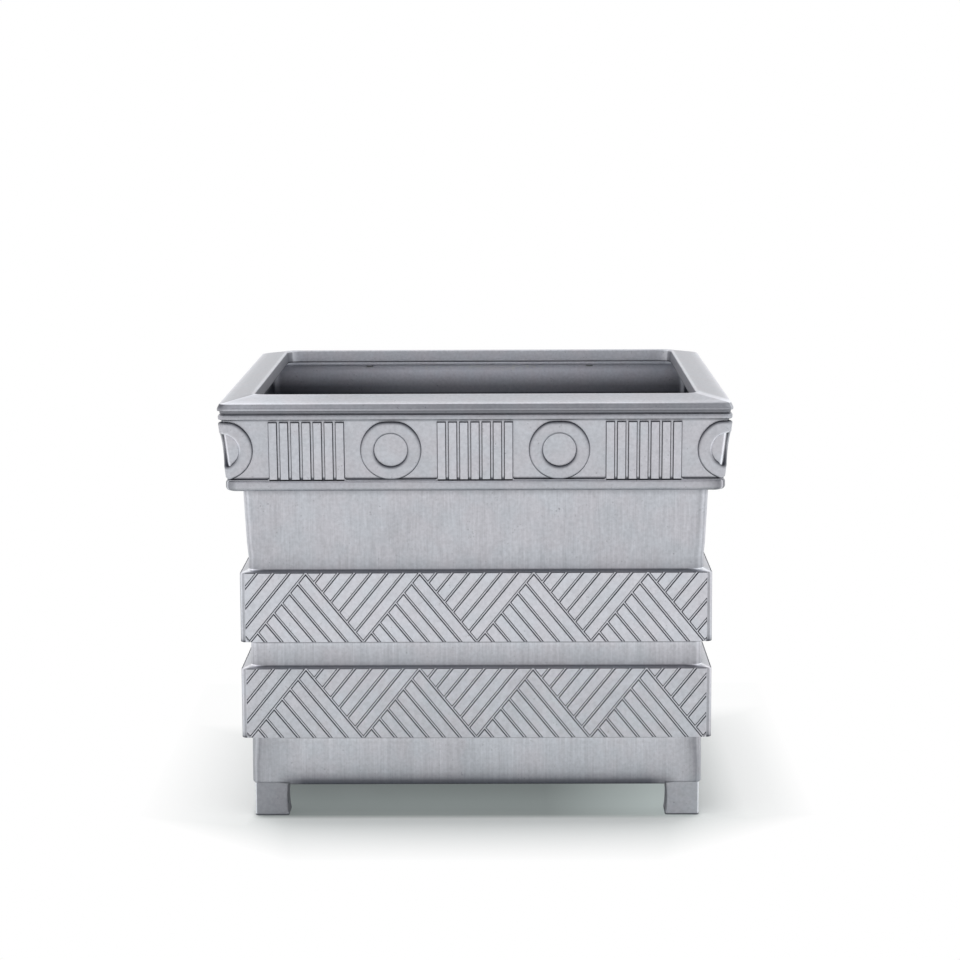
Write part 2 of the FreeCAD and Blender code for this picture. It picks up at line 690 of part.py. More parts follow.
def side_screws(name, pitch, reach, seat, grip):
    """Pair of round-headed screws driven upwards on each side, heads against the seat."""
    screws = []
    for number, side in enumerate((-1, 1)):
        at = {"x": f"{side} * {pitch} / 2", "y": reach}
        shank = pin(f"{name}_shank_{number}", "sizes.screw_radius", grip, z=seat, **at)
        head = pin(
            f"{name}_head_{number}", "sizes.screw_head_radius", "sizes.screw_head_height",
            z=f"{seat} - sizes.screw_head_height", **at,
        )
        screws.append(fuse(f"{name}_{number}", [shank, head]))
    return all_round(name, group(f"{name}_pair", screws))


rim_screws = side_screws(
    "rim_screws", "sizes.rim_screw_pitch", RIM_SCREW_REACH, FLANGE_FOOT, "sizes.flange_thickness + sizes.screw_bite"
)
bottom_plate_screws = side_screws(
    "bottom_plate_screws", "sizes.lug_pitch", LUG_SCREW_REACH, FOOT_TOP, "sizes.plate_thickness + sizes.screw_bite"
)

# Check and write every sub-part

SUB_PARTS = [
    rim_frame, front_panel, right_panel, back_panel, left_panel, bottom_plate,
    foot_front_left, foot_front_right, foot_back_left, foot_back_right,
    corner_bolts, corner_washers, corner_nuts, foot_bolts, foot_washers, rim_screws, bottom_plate_screws,
]

doc.recompute()
for item in doc.Objects:
    if {"Invalid", "Error"} & set(item.State):
        raise RuntimeError(f"{item.Name} failed: {item.State}")
os.makedirs("parts", exist_ok=True)
for item in SUB_PARTS:
    if item.Shape.isNull() or not item.Shape.isValid():
        raise RuntimeError(f"{item.Label} has no valid shape")
    item.Shape.exportStep(f"parts/{item.Label}.step")
    print(item.Label, len(item.Shape.Solids), "solids", round(item.Shape.Volume))
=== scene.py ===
import logging
import math
from dataclasses import dataclass, field, replace
from enum import Enum
from typing import Callable, Sequence

import bpy
import numpy as np
from mathutils import Matrix, Vector


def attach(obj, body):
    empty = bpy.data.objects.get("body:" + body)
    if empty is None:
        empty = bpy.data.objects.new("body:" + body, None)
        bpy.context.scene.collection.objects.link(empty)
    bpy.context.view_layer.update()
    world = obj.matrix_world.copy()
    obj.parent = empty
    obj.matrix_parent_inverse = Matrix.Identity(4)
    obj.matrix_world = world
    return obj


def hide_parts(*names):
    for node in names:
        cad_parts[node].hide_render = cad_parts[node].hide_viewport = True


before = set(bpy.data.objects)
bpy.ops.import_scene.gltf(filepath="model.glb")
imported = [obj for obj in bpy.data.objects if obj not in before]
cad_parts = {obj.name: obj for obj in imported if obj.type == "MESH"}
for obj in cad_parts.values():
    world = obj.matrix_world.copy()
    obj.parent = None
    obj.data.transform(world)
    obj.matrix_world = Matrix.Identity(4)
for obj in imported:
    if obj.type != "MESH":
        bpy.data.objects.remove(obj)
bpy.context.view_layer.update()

LOG = logging.getLogger("planter")
MM = 0.001

Mapper = Callable[[np.ndarray], np.ndarray]
Point = tuple[float, float]
Socket = bpy.types.NodeSocket


class Side(Enum):
    """The four sides of the planter, each with its turn from the front in degrees."""

    FRONT = 0
    RIGHT = 90
    BACK = 180
    LEFT = 270

    @property
    def flank(self) -> bool:
        """Whether this is the left or the right side."""
        return self in (Side.LEFT, Side.RIGHT)


class Slot(Enum):
    """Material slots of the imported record."""

    CASTING = "cast_aluminium"
    FASTENER = "zinc_steel"


# Finishes


@dataclass(frozen=True)
class Finish:
    """Colours and roughness of one metal, with the look of its casting and brushing.

    Args:
        colour: base colour in the open, linear.
        tint: second colour that the first drifts to in soft clouds, linear.
        stain_and_shade: colour of the oxide in creases and grooves and of the painted shade, linear.
        roughness: mean roughness.
        grain: strength of the fine casting grain, in metres.
        pits: share of the surface that is pitted, 0 to 1.
        streak: strength of the upright brushing, 0 to 1.
    """

    colour: tuple[float, float, float]
    tint: tuple[float, float, float]
    stain_and_shade: tuple[float, float, float]
    roughness: float
    grain: float
    pits: float
    streak: float


CAST = Finish(
    (0.549, 0.566, 0.608), (0.563, 0.562, 0.601), (0.070, 0.074, 0.090),
    roughness=0.36, grain=0.00010, pits=0.35, streak=1.0,
)
ZINC = Finish(
    (0.560, 0.560, 0.545), (0.555, 0.560, 0.560), (0.20, 0.20, 0.20),
    roughness=0.38, grain=0.00003, pits=0.0, streak=0.0,
)


def grey(value: float) -> tuple[float, float, float, float]:
    """Returns a grey of a value, with full alpha."""
    return (value, value, value, 1.0)


class Graph:
    """Lays out the node graph of a material or a world."""

    def __init__(self, owner: bpy.types.ID) -> None:
        """Starts an empty graph.

        Args:
            owner: the new material or world.
        """
        owner.use_nodes = True
        self.owner = owner
        self.tree = owner.node_tree
        self.tree.nodes.clear()

    def node(self, kind: str, settings: dict | None = None, **inputs: object) -> bpy.types.Node:
        """Adds a node, sets its own settings, and sets or links its inputs.

        Args:
            kind: the node's Blender type without its first word.
            settings: attributes of the node itself.
            inputs: values or output sockets by input name, with _ for a blank, or by number after an i.

        Returns:
            The new node.
        """
        made = self.tree.nodes.new(f"ShaderNode{kind}")
        for key, value in (settings or {}).items():
            setattr(made, key, value)
        for key, value in inputs.items():
            socket = made.inputs[int(key[1:]) if key[1:].isdigit() else key.replace("_", " ")]
            if isinstance(value, Socket):
                self.tree.links.new(value, socket)
            else:
                socket.default_value = value
        return made

    def math(self, operation: str, first: object, *others: object) -> Socket:
        """Works an operation out from left to right.

        Args:
            operation: Blender's name of the operation.
            first: the first value, the only one of an operation that takes one.
            others: the values that follow.

        Returns:
            The result's output.
        """
        for other in others or (0.0,):
            first = self.node("Math", {"operation": operation}, i0=first, i1=other).outputs[0]
        return first

    def weigh(self, start: object, *terms: tuple[object, float]) -> Socket:
        """Adds weighted terms to a value.

        Args:
            start: the value.
            terms: pairs of a term and its weight.

        Returns:
            The sum's output.
        """
        for term, weight in terms:
            start = self.math("ADD", start, self.math("MULTIPLY", term, weight))
        return start

    def blend(self, share: object, first: object, second: object) -> Socket:
        """Mixes two colours by a share and returns the mixed colour."""
        return self.node("Mix", {"data_type": "RGBA"}, i0=share, i6=first, i7=second).outputs[2]

    def spread(self, value: object, low: float, high: float, *ends: float) -> Socket:
        """Maps a range of a value onto another range, clamped.

        Args:
            value: the value.
            low: where the range starts.
            high: where it ends.
            ends: the results at low and high, 0 and 1 where they are left out.

        Returns:
            The result's output.
        """
        out_low, out_high = ends or (0.0, 1.0)
        return self.node(
            "MapRange", None, Value=value, From_Min=low, From_Max=high, To_Min=out_low, To_Max=out_high
        ).outputs[0]

    def noise(self, vector: object, scale: float, detail: float, rough: float) -> Socket:
        """Adds a noise texture and returns its factor."""
        texture = self.node("TexNoise", None, Vector=vector, Scale=scale, Detail=detail, Roughness=rough)
        return texture.outputs["Fac"]

    def glow(self, colour: Sequence[float], strength: object = 1.0) -> Socket:
        """Adds an emission of a colour with full alpha and returns its shader."""
        return self.node("Emission", None, Color=colour, Strength=strength).outputs[0]

    def mix(self, share: object, first: object, second: object) -> Socket:
        """Mixes two shaders by a share and returns the mixed shader."""
        return self.node("MixShader", None, i0=share, i1=first, i2=second).outputs[0]


def metal_material(name: str, finish_and_light: Finish) -> bpy.types.Material:
    """Builds a satin metal from a Finish.

    The finish_and_light attribute of a mesh drives it: red darkens towards the stain_and_shade colour,
    for oxide in creases and for painted shade, green brightens rubbed edges and paints highlights, blue is
    the share of upright brushing and alpha that of raw casting. A mesh without the attribute gets plain
    metal.

    Args:
        name: the material's name.
        finish_and_light: colours and strengths, whose stain_and_shade colour also serves the painted shade.

    Returns:
        The material.
    """
    graph = Graph(bpy.data.materials.new(name))
    place = graph.node("TexCoord").outputs["Object"]
    # red of the attribute is oxide and painted shade, green is rubbed edges and painted highlights
    marks = graph.node("Attribute", {"attribute_name": "finish_and_light"}).outputs
    shade_and_oxide, wear_and_highlight, brushed = graph.node("SeparateColor", None, Color=marks["Color"]).outputs

    # upright brushing: noise that is long in height and fine across
    upright = graph.node("Mapping", None, Vector=place, Scale=(1.0, 1.0, 0.035)).outputs[0]
    broad, fine = graph.noise(upright, 150.0, 4.0, 0.65), graph.noise(upright, 620.0, 2.0, 0.6)
    streaks = graph.spread(graph.weigh(0.0, (broad, 0.4), (fine, 0.6)), 0.32, 0.68, -1.0, 1.0)
    streaks = graph.math("MULTIPLY", brushed, finish_and_light.streak, streaks)

    # casting: soft clouds, fine grain and scattered pits
    clouds = graph.spread(graph.noise(place, 24.0, 5.0, 0.62), 0.3, 0.7, -1.0, 1.0)
    grain = graph.noise(place, 1500.0, 3.0, 0.65)
    speck = graph.spread(graph.noise(place, 300.0, 3.0, 0.6), 0.34, 0.66, -1.0, 1.0)
    cells = graph.node("TexVoronoi", {"feature": "F1"}, Vector=place, Scale=330.0).outputs["Distance"]
    where = graph.spread(graph.noise(place, 95.0, 2.0, 0.6), 0.62 - 0.1 * finish_and_light.pits, 0.72)
    pits = graph.math("MULTIPLY", graph.spread(cells, 0.16, 0.34, 1.0, 0.0), where)
    pitted = -0.45 * min(1.0, finish_and_light.pits * 2.0)

    # green lightens the tone, for rubbed edges and for painted highlights
    tone = graph.weigh(1.0, (clouds, 0.06), (speck, 0.07), (streaks, 0.09), (wear_and_highlight, 0.22), (pits, pitted))
    drift = graph.spread(graph.noise(place, 38.0, 3.0, 0.5), 0.38, 0.62)
    hue = graph.blend(drift, (*finish_and_light.colour, 1.0), (*finish_and_light.tint, 1.0))
    base = graph.node("VectorMath", {"operation": "SCALE"}, i0=hue, Scale=tone).outputs[0]
    # red darkens towards the stain_and_shade colour, for oxide and for painted shade
    colour = graph.blend(graph.spread(shade_and_oxide, 0.0, 1.0), base, (*finish_and_light.stain_and_shade, 1.0))
    raw = marks["Alpha"]
    rough = graph.weigh(finish_and_light.roughness, (clouds, 0.03), (streaks, -0.05), (shade_and_oxide, 0.15), (raw, 0.30))
    lift = graph.weigh(grain, (streaks, 0.22), (pits, -1.6 * finish_and_light.pits))
    bump = graph.node("Bump", None, Height=lift, Strength=0.55, Distance=finish_and_light.grain).outputs[0]
    shader = graph.node("BsdfPrincipled", None, Base_Color=colour, Roughness=rough, Metallic=1.0, Normal=bump)
    graph.node("OutputMaterial", None, Surface=shader.outputs[0])
    return graph.owner


# Numbers


def ramp(value: np.ndarray, start: float, stop: float) -> np.ndarray:
    """Returns how far a value has come from start to stop, held between 0 and 1."""
    return np.clip((value - start) / (stop - start), 0.0, 1.0)


def smooth(value: np.ndarray) -> np.ndarray:
    """Returns 3 t^2 - 2 t^3 of a value t that is held between 0 and 1."""
    share = np.clip(value, 0.0, 1.0)
    return share * share * (3.0 - 2.0 * share)


def turn_matrix(degrees: float) -> np.ndarray:
    """Returns the matrix that turns places about the upright axis."""
    cosine, sine = math.cos(math.radians(degrees)), math.sin(math.radians(degrees))
    return np.array([[cosine, -sine, 0.0], [sine, cosine, 0.0], [0.0, 0.0, 1.0]])


# Meshes


@dataclass
class Shape:
    """Points, faces and finish marks of a mesh that is being put together.

    Args:
        points: blocks of points, each (N, 3).
        marks: blocks of marks for the finish_and_light attribute, each (N, 4), in the order painted shade and
            oxide, rubbing and painted highlight, brushing, raw casting.
        faces: blocks of faces, each (F, corners), counted over all points.
        count: number of points so far.
    """

    points: list[np.ndarray] = field(default_factory=list)
    marks: list[np.ndarray] = field(default_factory=list)
    faces: list[np.ndarray] = field(default_factory=list)
    count: int = 0

    def add(self, points: np.ndarray, marks: np.ndarray, numbers: np.ndarray, caps: list[np.ndarray]) -> None:
        """Adds a grid of points with quads between them.

        Args:
            points: (rows, columns, 3) places.
            marks: (rows, columns, 4) finish marks.
            numbers: point numbers in a grid, where first rows or columns may come again to close it.
            caps: more faces, each (1, corners) point numbers.
        """
        quads = np.stack([numbers[:-1, :-1], numbers[:-1, 1:], numbers[1:, 1:], numbers[1:, :-1]], axis=-1)
        self.points.append(points.reshape(-1, 3))
        self.marks.append(marks.reshape(-1, 4))
        self.faces += [block + self.count for block in (quads.reshape(-1, 4), *caps)]
        self.count += points[..., 0].size

    def grid(self, points: np.ndarray, marks: np.ndarray, closed: bool = False) -> None:
        """Adds a tube whose last row joins the first.

        Args:
            points: (rows, columns, 3) places.
            marks: (rows, columns, 4) finish marks.
            closed: whether the last column joins the first; both get a flat cap otherwise.
        """
        numbers = np.arange(points[..., 0].size).reshape(points.shape[:2])
        wide = np.vstack([numbers, numbers[:1]])
        wide = np.hstack([wide, wide[:, :1]]) if closed else wide
        self.add(points, marks, wide, [] if closed else [numbers[:, 0][None], numbers[::-1, -1][None]])

    def stack(self, loops: np.ndarray, marks: np.ndarray) -> None:
        """Adds a closed island from a stack of loops, with a flat cap under the first and over the last.

        Args:
            loops: (levels, corners, 3) places.
            marks: (levels, corners, 4) finish marks.
        """
        numbers = np.arange(loops[..., 0].size).reshape(loops.shape[:2])
        around = np.hstack([numbers, numbers[:, :1]])
        self.add(loops, marks, around, [numbers[0, ::-1][None], numbers[-1][None]])

    def block(self, ring: np.ndarray, low: float, high: float, shade_and_oxide: float = 0.0) -> None:
        """Adds an upright block of raw casting.

        Args:
            ring: (N, 2) corners of its plan, anticlockwise.
            low: height of its underside.
            high: height of its top.
            shade_and_oxide: how dark it is, for oxide and for painted shade, 0 to 1.
        """
        loops = np.stack([np.hstack([ring, np.full((len(ring), 1), height)]) for height in (low, high)])
        marks = np.zeros((2, len(ring), 4))
        marks[..., 0], marks[..., 3] = shade_and_oxide, 1.0
        self.stack(loops, marks)

    def turned(self, degrees: float) -> "Shape":
        """Returns a copy turned about the upright axis."""
        blocks = [block @ turn_matrix(degrees).T for block in self.points]
        return Shape(blocks, list(self.marks), list(self.faces), self.count)

    def build(self, name: str, material: bpy.types.Material) -> bpy.types.Object:
        """Makes the Blender object.

        Args:
            name: the object's name.
            material: its material.

        Returns:
            The object, at the origin, with normals pointing out.
        """
        sharp_from = 32.0
        mesh = bpy.data.meshes.new(name)
        points = np.vstack(self.points)
        sizes = np.concatenate([np.full(len(block), block.shape[1]) for block in self.faces])
        corners = np.concatenate([block.reshape(-1) for block in self.faces])
        starts = np.concatenate([[0], np.cumsum(sizes)[:-1]])
        mesh.vertices.add(len(points))
        mesh.vertices.foreach_set("co", points.astype(np.float32).reshape(-1))
        mesh.loops.add(len(corners))
        mesh.loops.foreach_set("vertex_index", corners.astype(np.int32))
        mesh.polygons.add(len(sizes))
        mesh.polygons.foreach_set("loop_start", starts.astype(np.int32))
        mesh.polygons.foreach_set("use_smooth", np.ones(len(sizes), dtype=bool))
        mesh.update(calc_edges=True)
        mesh.validate()
        layer = mesh.attributes.new("finish_and_light", "FLOAT_COLOR", "POINT")
        layer.data.foreach_set("color", np.vstack(self.marks).astype(np.float32).reshape(-1))
        mesh.set_sharp_from_angle(angle=math.radians(sharp_from))
        mesh.materials.append(material)
        made = bpy.data.objects.new(name, mesh)
        bpy.context.scene.collection.objects.link(made)
        return made


@dataclass(frozen=True)
class Knee:
    """One corner of a cross section.

    Args:
        reach: distance from the planter's middle.
        height: height above the floor.
        bend: radius that rounds this corner of the section.
        plan: radius of the planter's upright corner at this point.
        shade_and_oxide: how dark this point is, for oxide in creases and for painted shade, 0 to 1.
        wear_and_highlight: how bright this point is, for rubbed edges and for painted highlights, 0 to 1.
        brushed: share of upright brushing, 0 to 1.
        raw: share of rough casting, as inside, 0 to 1.
        steps: faces along the rounding.
    """

    reach: float
    height: float
    bend: float
    plan: float
    shade_and_oxide: float = 0.0
    wear_and_highlight: float = 0.0
    brushed: float = 0.0
    raw: float = 0.0
    steps: int = 4


def knee_rows(start: Point, *rows: tuple[float, ...]) -> list[Knee]:
    """Makes corners of a section from rows of numbers.

    Args:
        start: reach and height that the rows count from.
        rows: reach and height from the start, bend and plan in millimetres, then the knee's other fields in
            their order, of which the last ones may be left out.

    Returns:
        The corners.
    """
    reach, height = start
    return [
        Knee(reach + out * MM, height + up * MM, bend * MM, plan * MM, *marks)
        for out, up, bend, plan, *marks in rows
    ]


def rounded_section(knees: Sequence[Knee]) -> tuple[np.ndarray, np.ndarray]:
    """Rounds a closed cross section.

    Each corner becomes a circular arc, written as a rational curve of degree two with the half turn's
    cosine as the middle weight.

    Args:
        knees: the section's corners, in order.

    Returns:
        (P, 3) reach, height and plan radius, and (P, 4) finish marks.
    """
    places, marks = [], []
    for index, knee in enumerate(knees):
        here = np.array([knee.reach, knee.height])
        curve = here[None]
        if knee.bend > 0.0:
            before, after = knees[index - 1], knees[(index + 1) % len(knees)]
            back = np.array([before.reach, before.height]) - here
            ahead = np.array([after.reach, after.height]) - here
            back_length, ahead_length = np.linalg.norm(back), np.linalg.norm(ahead)
            back, ahead = back / back_length, ahead / ahead_length
            half = math.acos(float(np.clip(back @ ahead, -1.0, 1.0))) / 2.0
            tangent = min(knee.bend / math.tan(half), 0.48 * back_length, 0.48 * ahead_length)
            share = np.linspace(0.0, 1.0, knee.steps + 1)[:, None]
            first, last = (1.0 - share) ** 2, share**2
            middle = 2.0 * share * (1.0 - share) * math.sin(half)
            curve = first * (here + back * tangent) + middle * here + last * (here + ahead * tangent)
            curve = curve / (first + middle + last)
        places.append(np.hstack([curve, np.full((len(curve), 1), knee.plan)]))
        marks += [[knee.shade_and_oxide, knee.wear_and_highlight, knee.brushed, knee.raw]] * len(curve)
    return np.vstack(places), np.array(marks)


def quarter_sweep(
    places: np.ndarray, arc_steps: int = 6, straight_steps: int = 24, extra: Sequence[float] = ()
) -> np.ndarray:
    """Sweeps a section along the front side from mitre to mitre.

    At each point of the section the path is half a corner arc, the straight side and half the next corner
    arc.

    Args:
        places: (P, 3) reach, height and plan radius.
        arc_steps: faces along each half corner.
        straight_steps: faces along the straight side, closer together near its ends by a sine.
        extra: shares of the half length where one more column goes on both sides.

    Returns:
        (P, columns, 3) places, from left to right as seen from the front.
    """
    reach, height, radius = (places[:, index][:, None] for index in range(3))
    turn = np.radians(np.linspace(-45.0, 0.0, arc_steps + 1))[None]
    left_x = -(reach - radius) + radius * np.sin(turn)
    left_y = -(reach - radius) - radius * np.cos(turn)
    share = np.sin(np.linspace(-0.5, 0.5, straight_steps + 1) * math.pi)[1:-1]
    share = np.sort(np.concatenate([share, extra, [-place for place in extra]]))[None]
    middle_x = (reach - radius) * share
    middle_y = np.broadcast_to(-reach, middle_x.shape)
    x = np.hstack([left_x, middle_x, -left_x[:, ::-1]])
    y = np.hstack([left_y, middle_y, left_y[:, ::-1]])
    return np.stack([x, y, np.broadcast_to(height, x.shape)], axis=-1)


def inset_loop(outline: np.ndarray, insets: np.ndarray) -> np.ndarray:
    """Moves each side of a polygon inwards by its own distance.

    Args:
        outline: (N, 2) corners, anticlockwise.
        insets: (N,) distance for the side that starts at each corner.

    Returns:
        (N, 2) corners of the moved polygon.
    """
    along = np.roll(outline, -1, axis=0) - outline
    along /= np.linalg.norm(along, axis=1, keepdims=True)
    here = np.stack([-along[:, 1], along[:, 0]], axis=1)
    before = np.roll(here, 1, axis=0)
    first, second = np.roll(insets, 1)[:, None], insets[:, None]
    cosine = np.sum(before * here, axis=1, keepdims=True)
    shift = first * (before - cosine * here) + second * (here - cosine * before)
    return outline + shift / (1.0 - cosine**2)


def clipped(outline: np.ndarray, edge: float, keep_right: bool) -> np.ndarray:
    """Cuts a polygon off at an upright line.

    Args:
        outline: (N, 2) corners, anticlockwise.
        edge: the line's place.
        keep_right: whether the part to the right of it stays.

    Returns:
        The corners that remain, which may be none.
    """
    sign = 1.0 if keep_right else -1.0
    kept = []
    for here, after in zip(outline, np.roll(outline, -1, axis=0)):
        inside, next_inside = sign * (here[0] - edge) >= 0.0, sign * (after[0] - edge) >= 0.0
        if inside:
            kept.append(here)
        if inside != next_inside:
            kept.append(here + (edge - here[0]) / (after[0] - here[0]) * (after - here))
    return np.array(kept)


@dataclass(frozen=True)
class Relief:
    """Cross section of a raised form on a face.

    Args:
        insets: distance in from the outline at each level.
        raises: height over the ground at each level.
        shade_and_oxide: darkness of each level, for oxide and for painted shade.
        wear_and_highlight: brightness of each level, for rubbing and for painted highlights.
        shade: painted shade of each level on the walls of a ring that face up.
        gleam: painted highlight on each level of a ring's hole where it faces down, 0 to 1.
    """

    insets: tuple[float, ...]
    raises: tuple[float, ...]
    shade_and_oxide: tuple[float, ...]
    wear_and_highlight: tuple[float, ...]
    shade: tuple[float, ...] = ()
    gleam: tuple[float, ...] = ()

    def island(self, shape: Shape, outline: np.ndarray, sides: np.ndarray, mapper: Mapper) -> None:
        """Adds a raised island over an outline.

        Args:
            shape: the mesh to add to.
            outline: (N, 2) corners along and up the face, anticlockwise.
            sides: (N,) share of the inset for each side.
            mapper: turns (..., 3) along, up and raise into places.
        """
        loops = [
            np.hstack([inset_loop(outline, inset * sides), np.full((len(outline), 1), lift)])
            for inset, lift in zip(self.insets, self.raises)
        ]
        marks = np.zeros((len(loops), len(outline), 4))
        marks[..., 0] = np.array(self.shade_and_oxide)[:, None]
        marks[..., 1] = np.array(self.wear_and_highlight)[:, None]
        shape.stack(mapper(np.array(loops)), marks)

    def ring(
        self, shape: Shape, centre: Point, radii: Point, mapper: Mapper, span: Point, limits: Point
    ) -> None:
        """Adds a raised ring, or a part of one.

        Walls that face up take the painted shade by a smooth step of the sine of their angle; the others keep
        their painted shade and oxide, and the hole's walls that face down take a painted highlight. A limit L
        cuts a height h to L - s log(1 + exp((L - h) / s)), where s is the softness.

        Args:
            shape: the mesh to add to.
            centre: the ring's place along and up the face.
            radii: outer radius and the hole's radius at the face.
            mapper: turns (..., 3) along, up and raise into places.
            span: start and end angle in degrees.
            limits: how far the outline may reach below and above the centre, where it is cut softly flat.
        """
        full_steps, soft = 96, 0.9 * MM
        outer, inner = radii
        low, high = limits
        insets = np.array(self.insets)
        radius = np.concatenate([outer - insets, (inner + insets)[::-1]])[:, None]
        full = span[1] - span[0] >= 360.0
        angle = np.radians(np.linspace(*span, int(full_steps * (span[1] - span[0]) / 360.0) + 1))[None]
        angle = angle[:, :-1] if full else angle

        def both_walls(outside: Sequence[float], hole: Sequence[float] | None = None) -> np.ndarray:
            """Returns (P, 1) values of the levels, up the outer wall and down the hole's."""
            return np.concatenate([outside, (outside if hole is None else hole)[::-1]])[:, None]

        cut = both_walls(insets)
        rise = radius * np.sin(angle)
        rise = high - cut - soft * np.log1p(np.exp((high - cut - rise) / soft))
        rise = low + cut + soft * np.log1p(np.exp((rise - low - cut) / soft))
        along = centre[0] + radius * np.cos(angle)
        lift = np.broadcast_to(both_walls(self.raises), along.shape)
        flat = np.stack([along, centre[1] + rise, lift], axis=-1)

        step = smooth((np.repeat([1.0, -1.0], len(insets))[:, None] * np.sin(angle) + 0.45) / 1.3)
        plain, shade = both_walls(self.shade_and_oxide), both_walls(self.shade)
        # painted highlight on the hole's walls that face down, by the gleam of each level
        glint = both_walls(0.0 * insets, self.gleam or 0.0 * insets) * (1.0 - step)
        marks = np.zeros((*flat.shape[:2], 4))
        marks[..., 0] = (plain + (shade - plain) * step) * (1.0 - glint)
        marks[..., 1] = both_walls(self.wear_and_highlight) + 2.6 * glint
        shape.grid(mapper(flat)[::-1], marks[::-1], closed=full)


# Sub-assemblies


@dataclass(frozen=True)
class Levels:
    """Heights of the planter's zones above the floor, each at the zone's foot."""

    base: float = 34.0 * MM
    low_band: float = 82.0 * MM
    low_head: float = 151.4 * MM
    gap: float = 152.9 * MM
    high_band: float = 178.4 * MM
    high_head: float = 247.2 * MM
    wall: float = 249.3 * MM
    soffit: float = 330.2 * MM
    frieze: float = 340.5 * MM
    fillet: float = 400.5 * MM
    seat: float = 405.8 * MM
    flange: float = 409.0 * MM
    top: float = 422.5 * MM


@dataclass(frozen=True)
class Reaches:
    """Distances of the planter's faces from its middle."""

    base: float = 223.1 * MM
    gap: float = 223.2 * MM
    band: float = 232.0 * MM
    wall_foot: float = 224.2 * MM
    wall_head: float = 228.0 * MM
    bead: float = 243.2 * MM
    frieze_foot: float = 239.15 * MM
    frieze_head: float = 246.1 * MM
    fillet: float = 249.3 * MM
    register: float = 239.7 * MM
    flange: float = 219.4 * MM


@dataclass(frozen=True)
class Band:
    """One raised band with its zigzag.

    Args:
        foot: height of its lower edge.
        head: height of its upper edge.
        top: height where its ledge meets the face above.
        below: reach of the face under it.
        above: reach of the face over its ledge.
        front: painted shade on the ledge's front edge, 0 to 1.
        back: painted shade and oxide in the crease behind the ledge, 0 to 1.
        under: painted shade on the face under it, 0 to 1.
        sheen: painted lightening of its bars, 0 to 1.
        shift: how far its zigzag stands off the middle.
    """

    foot: float
    head: float
    top: float
    below: float
    above: float
    front: float
    back: float
    under: float
    sheen: float
    shift: float


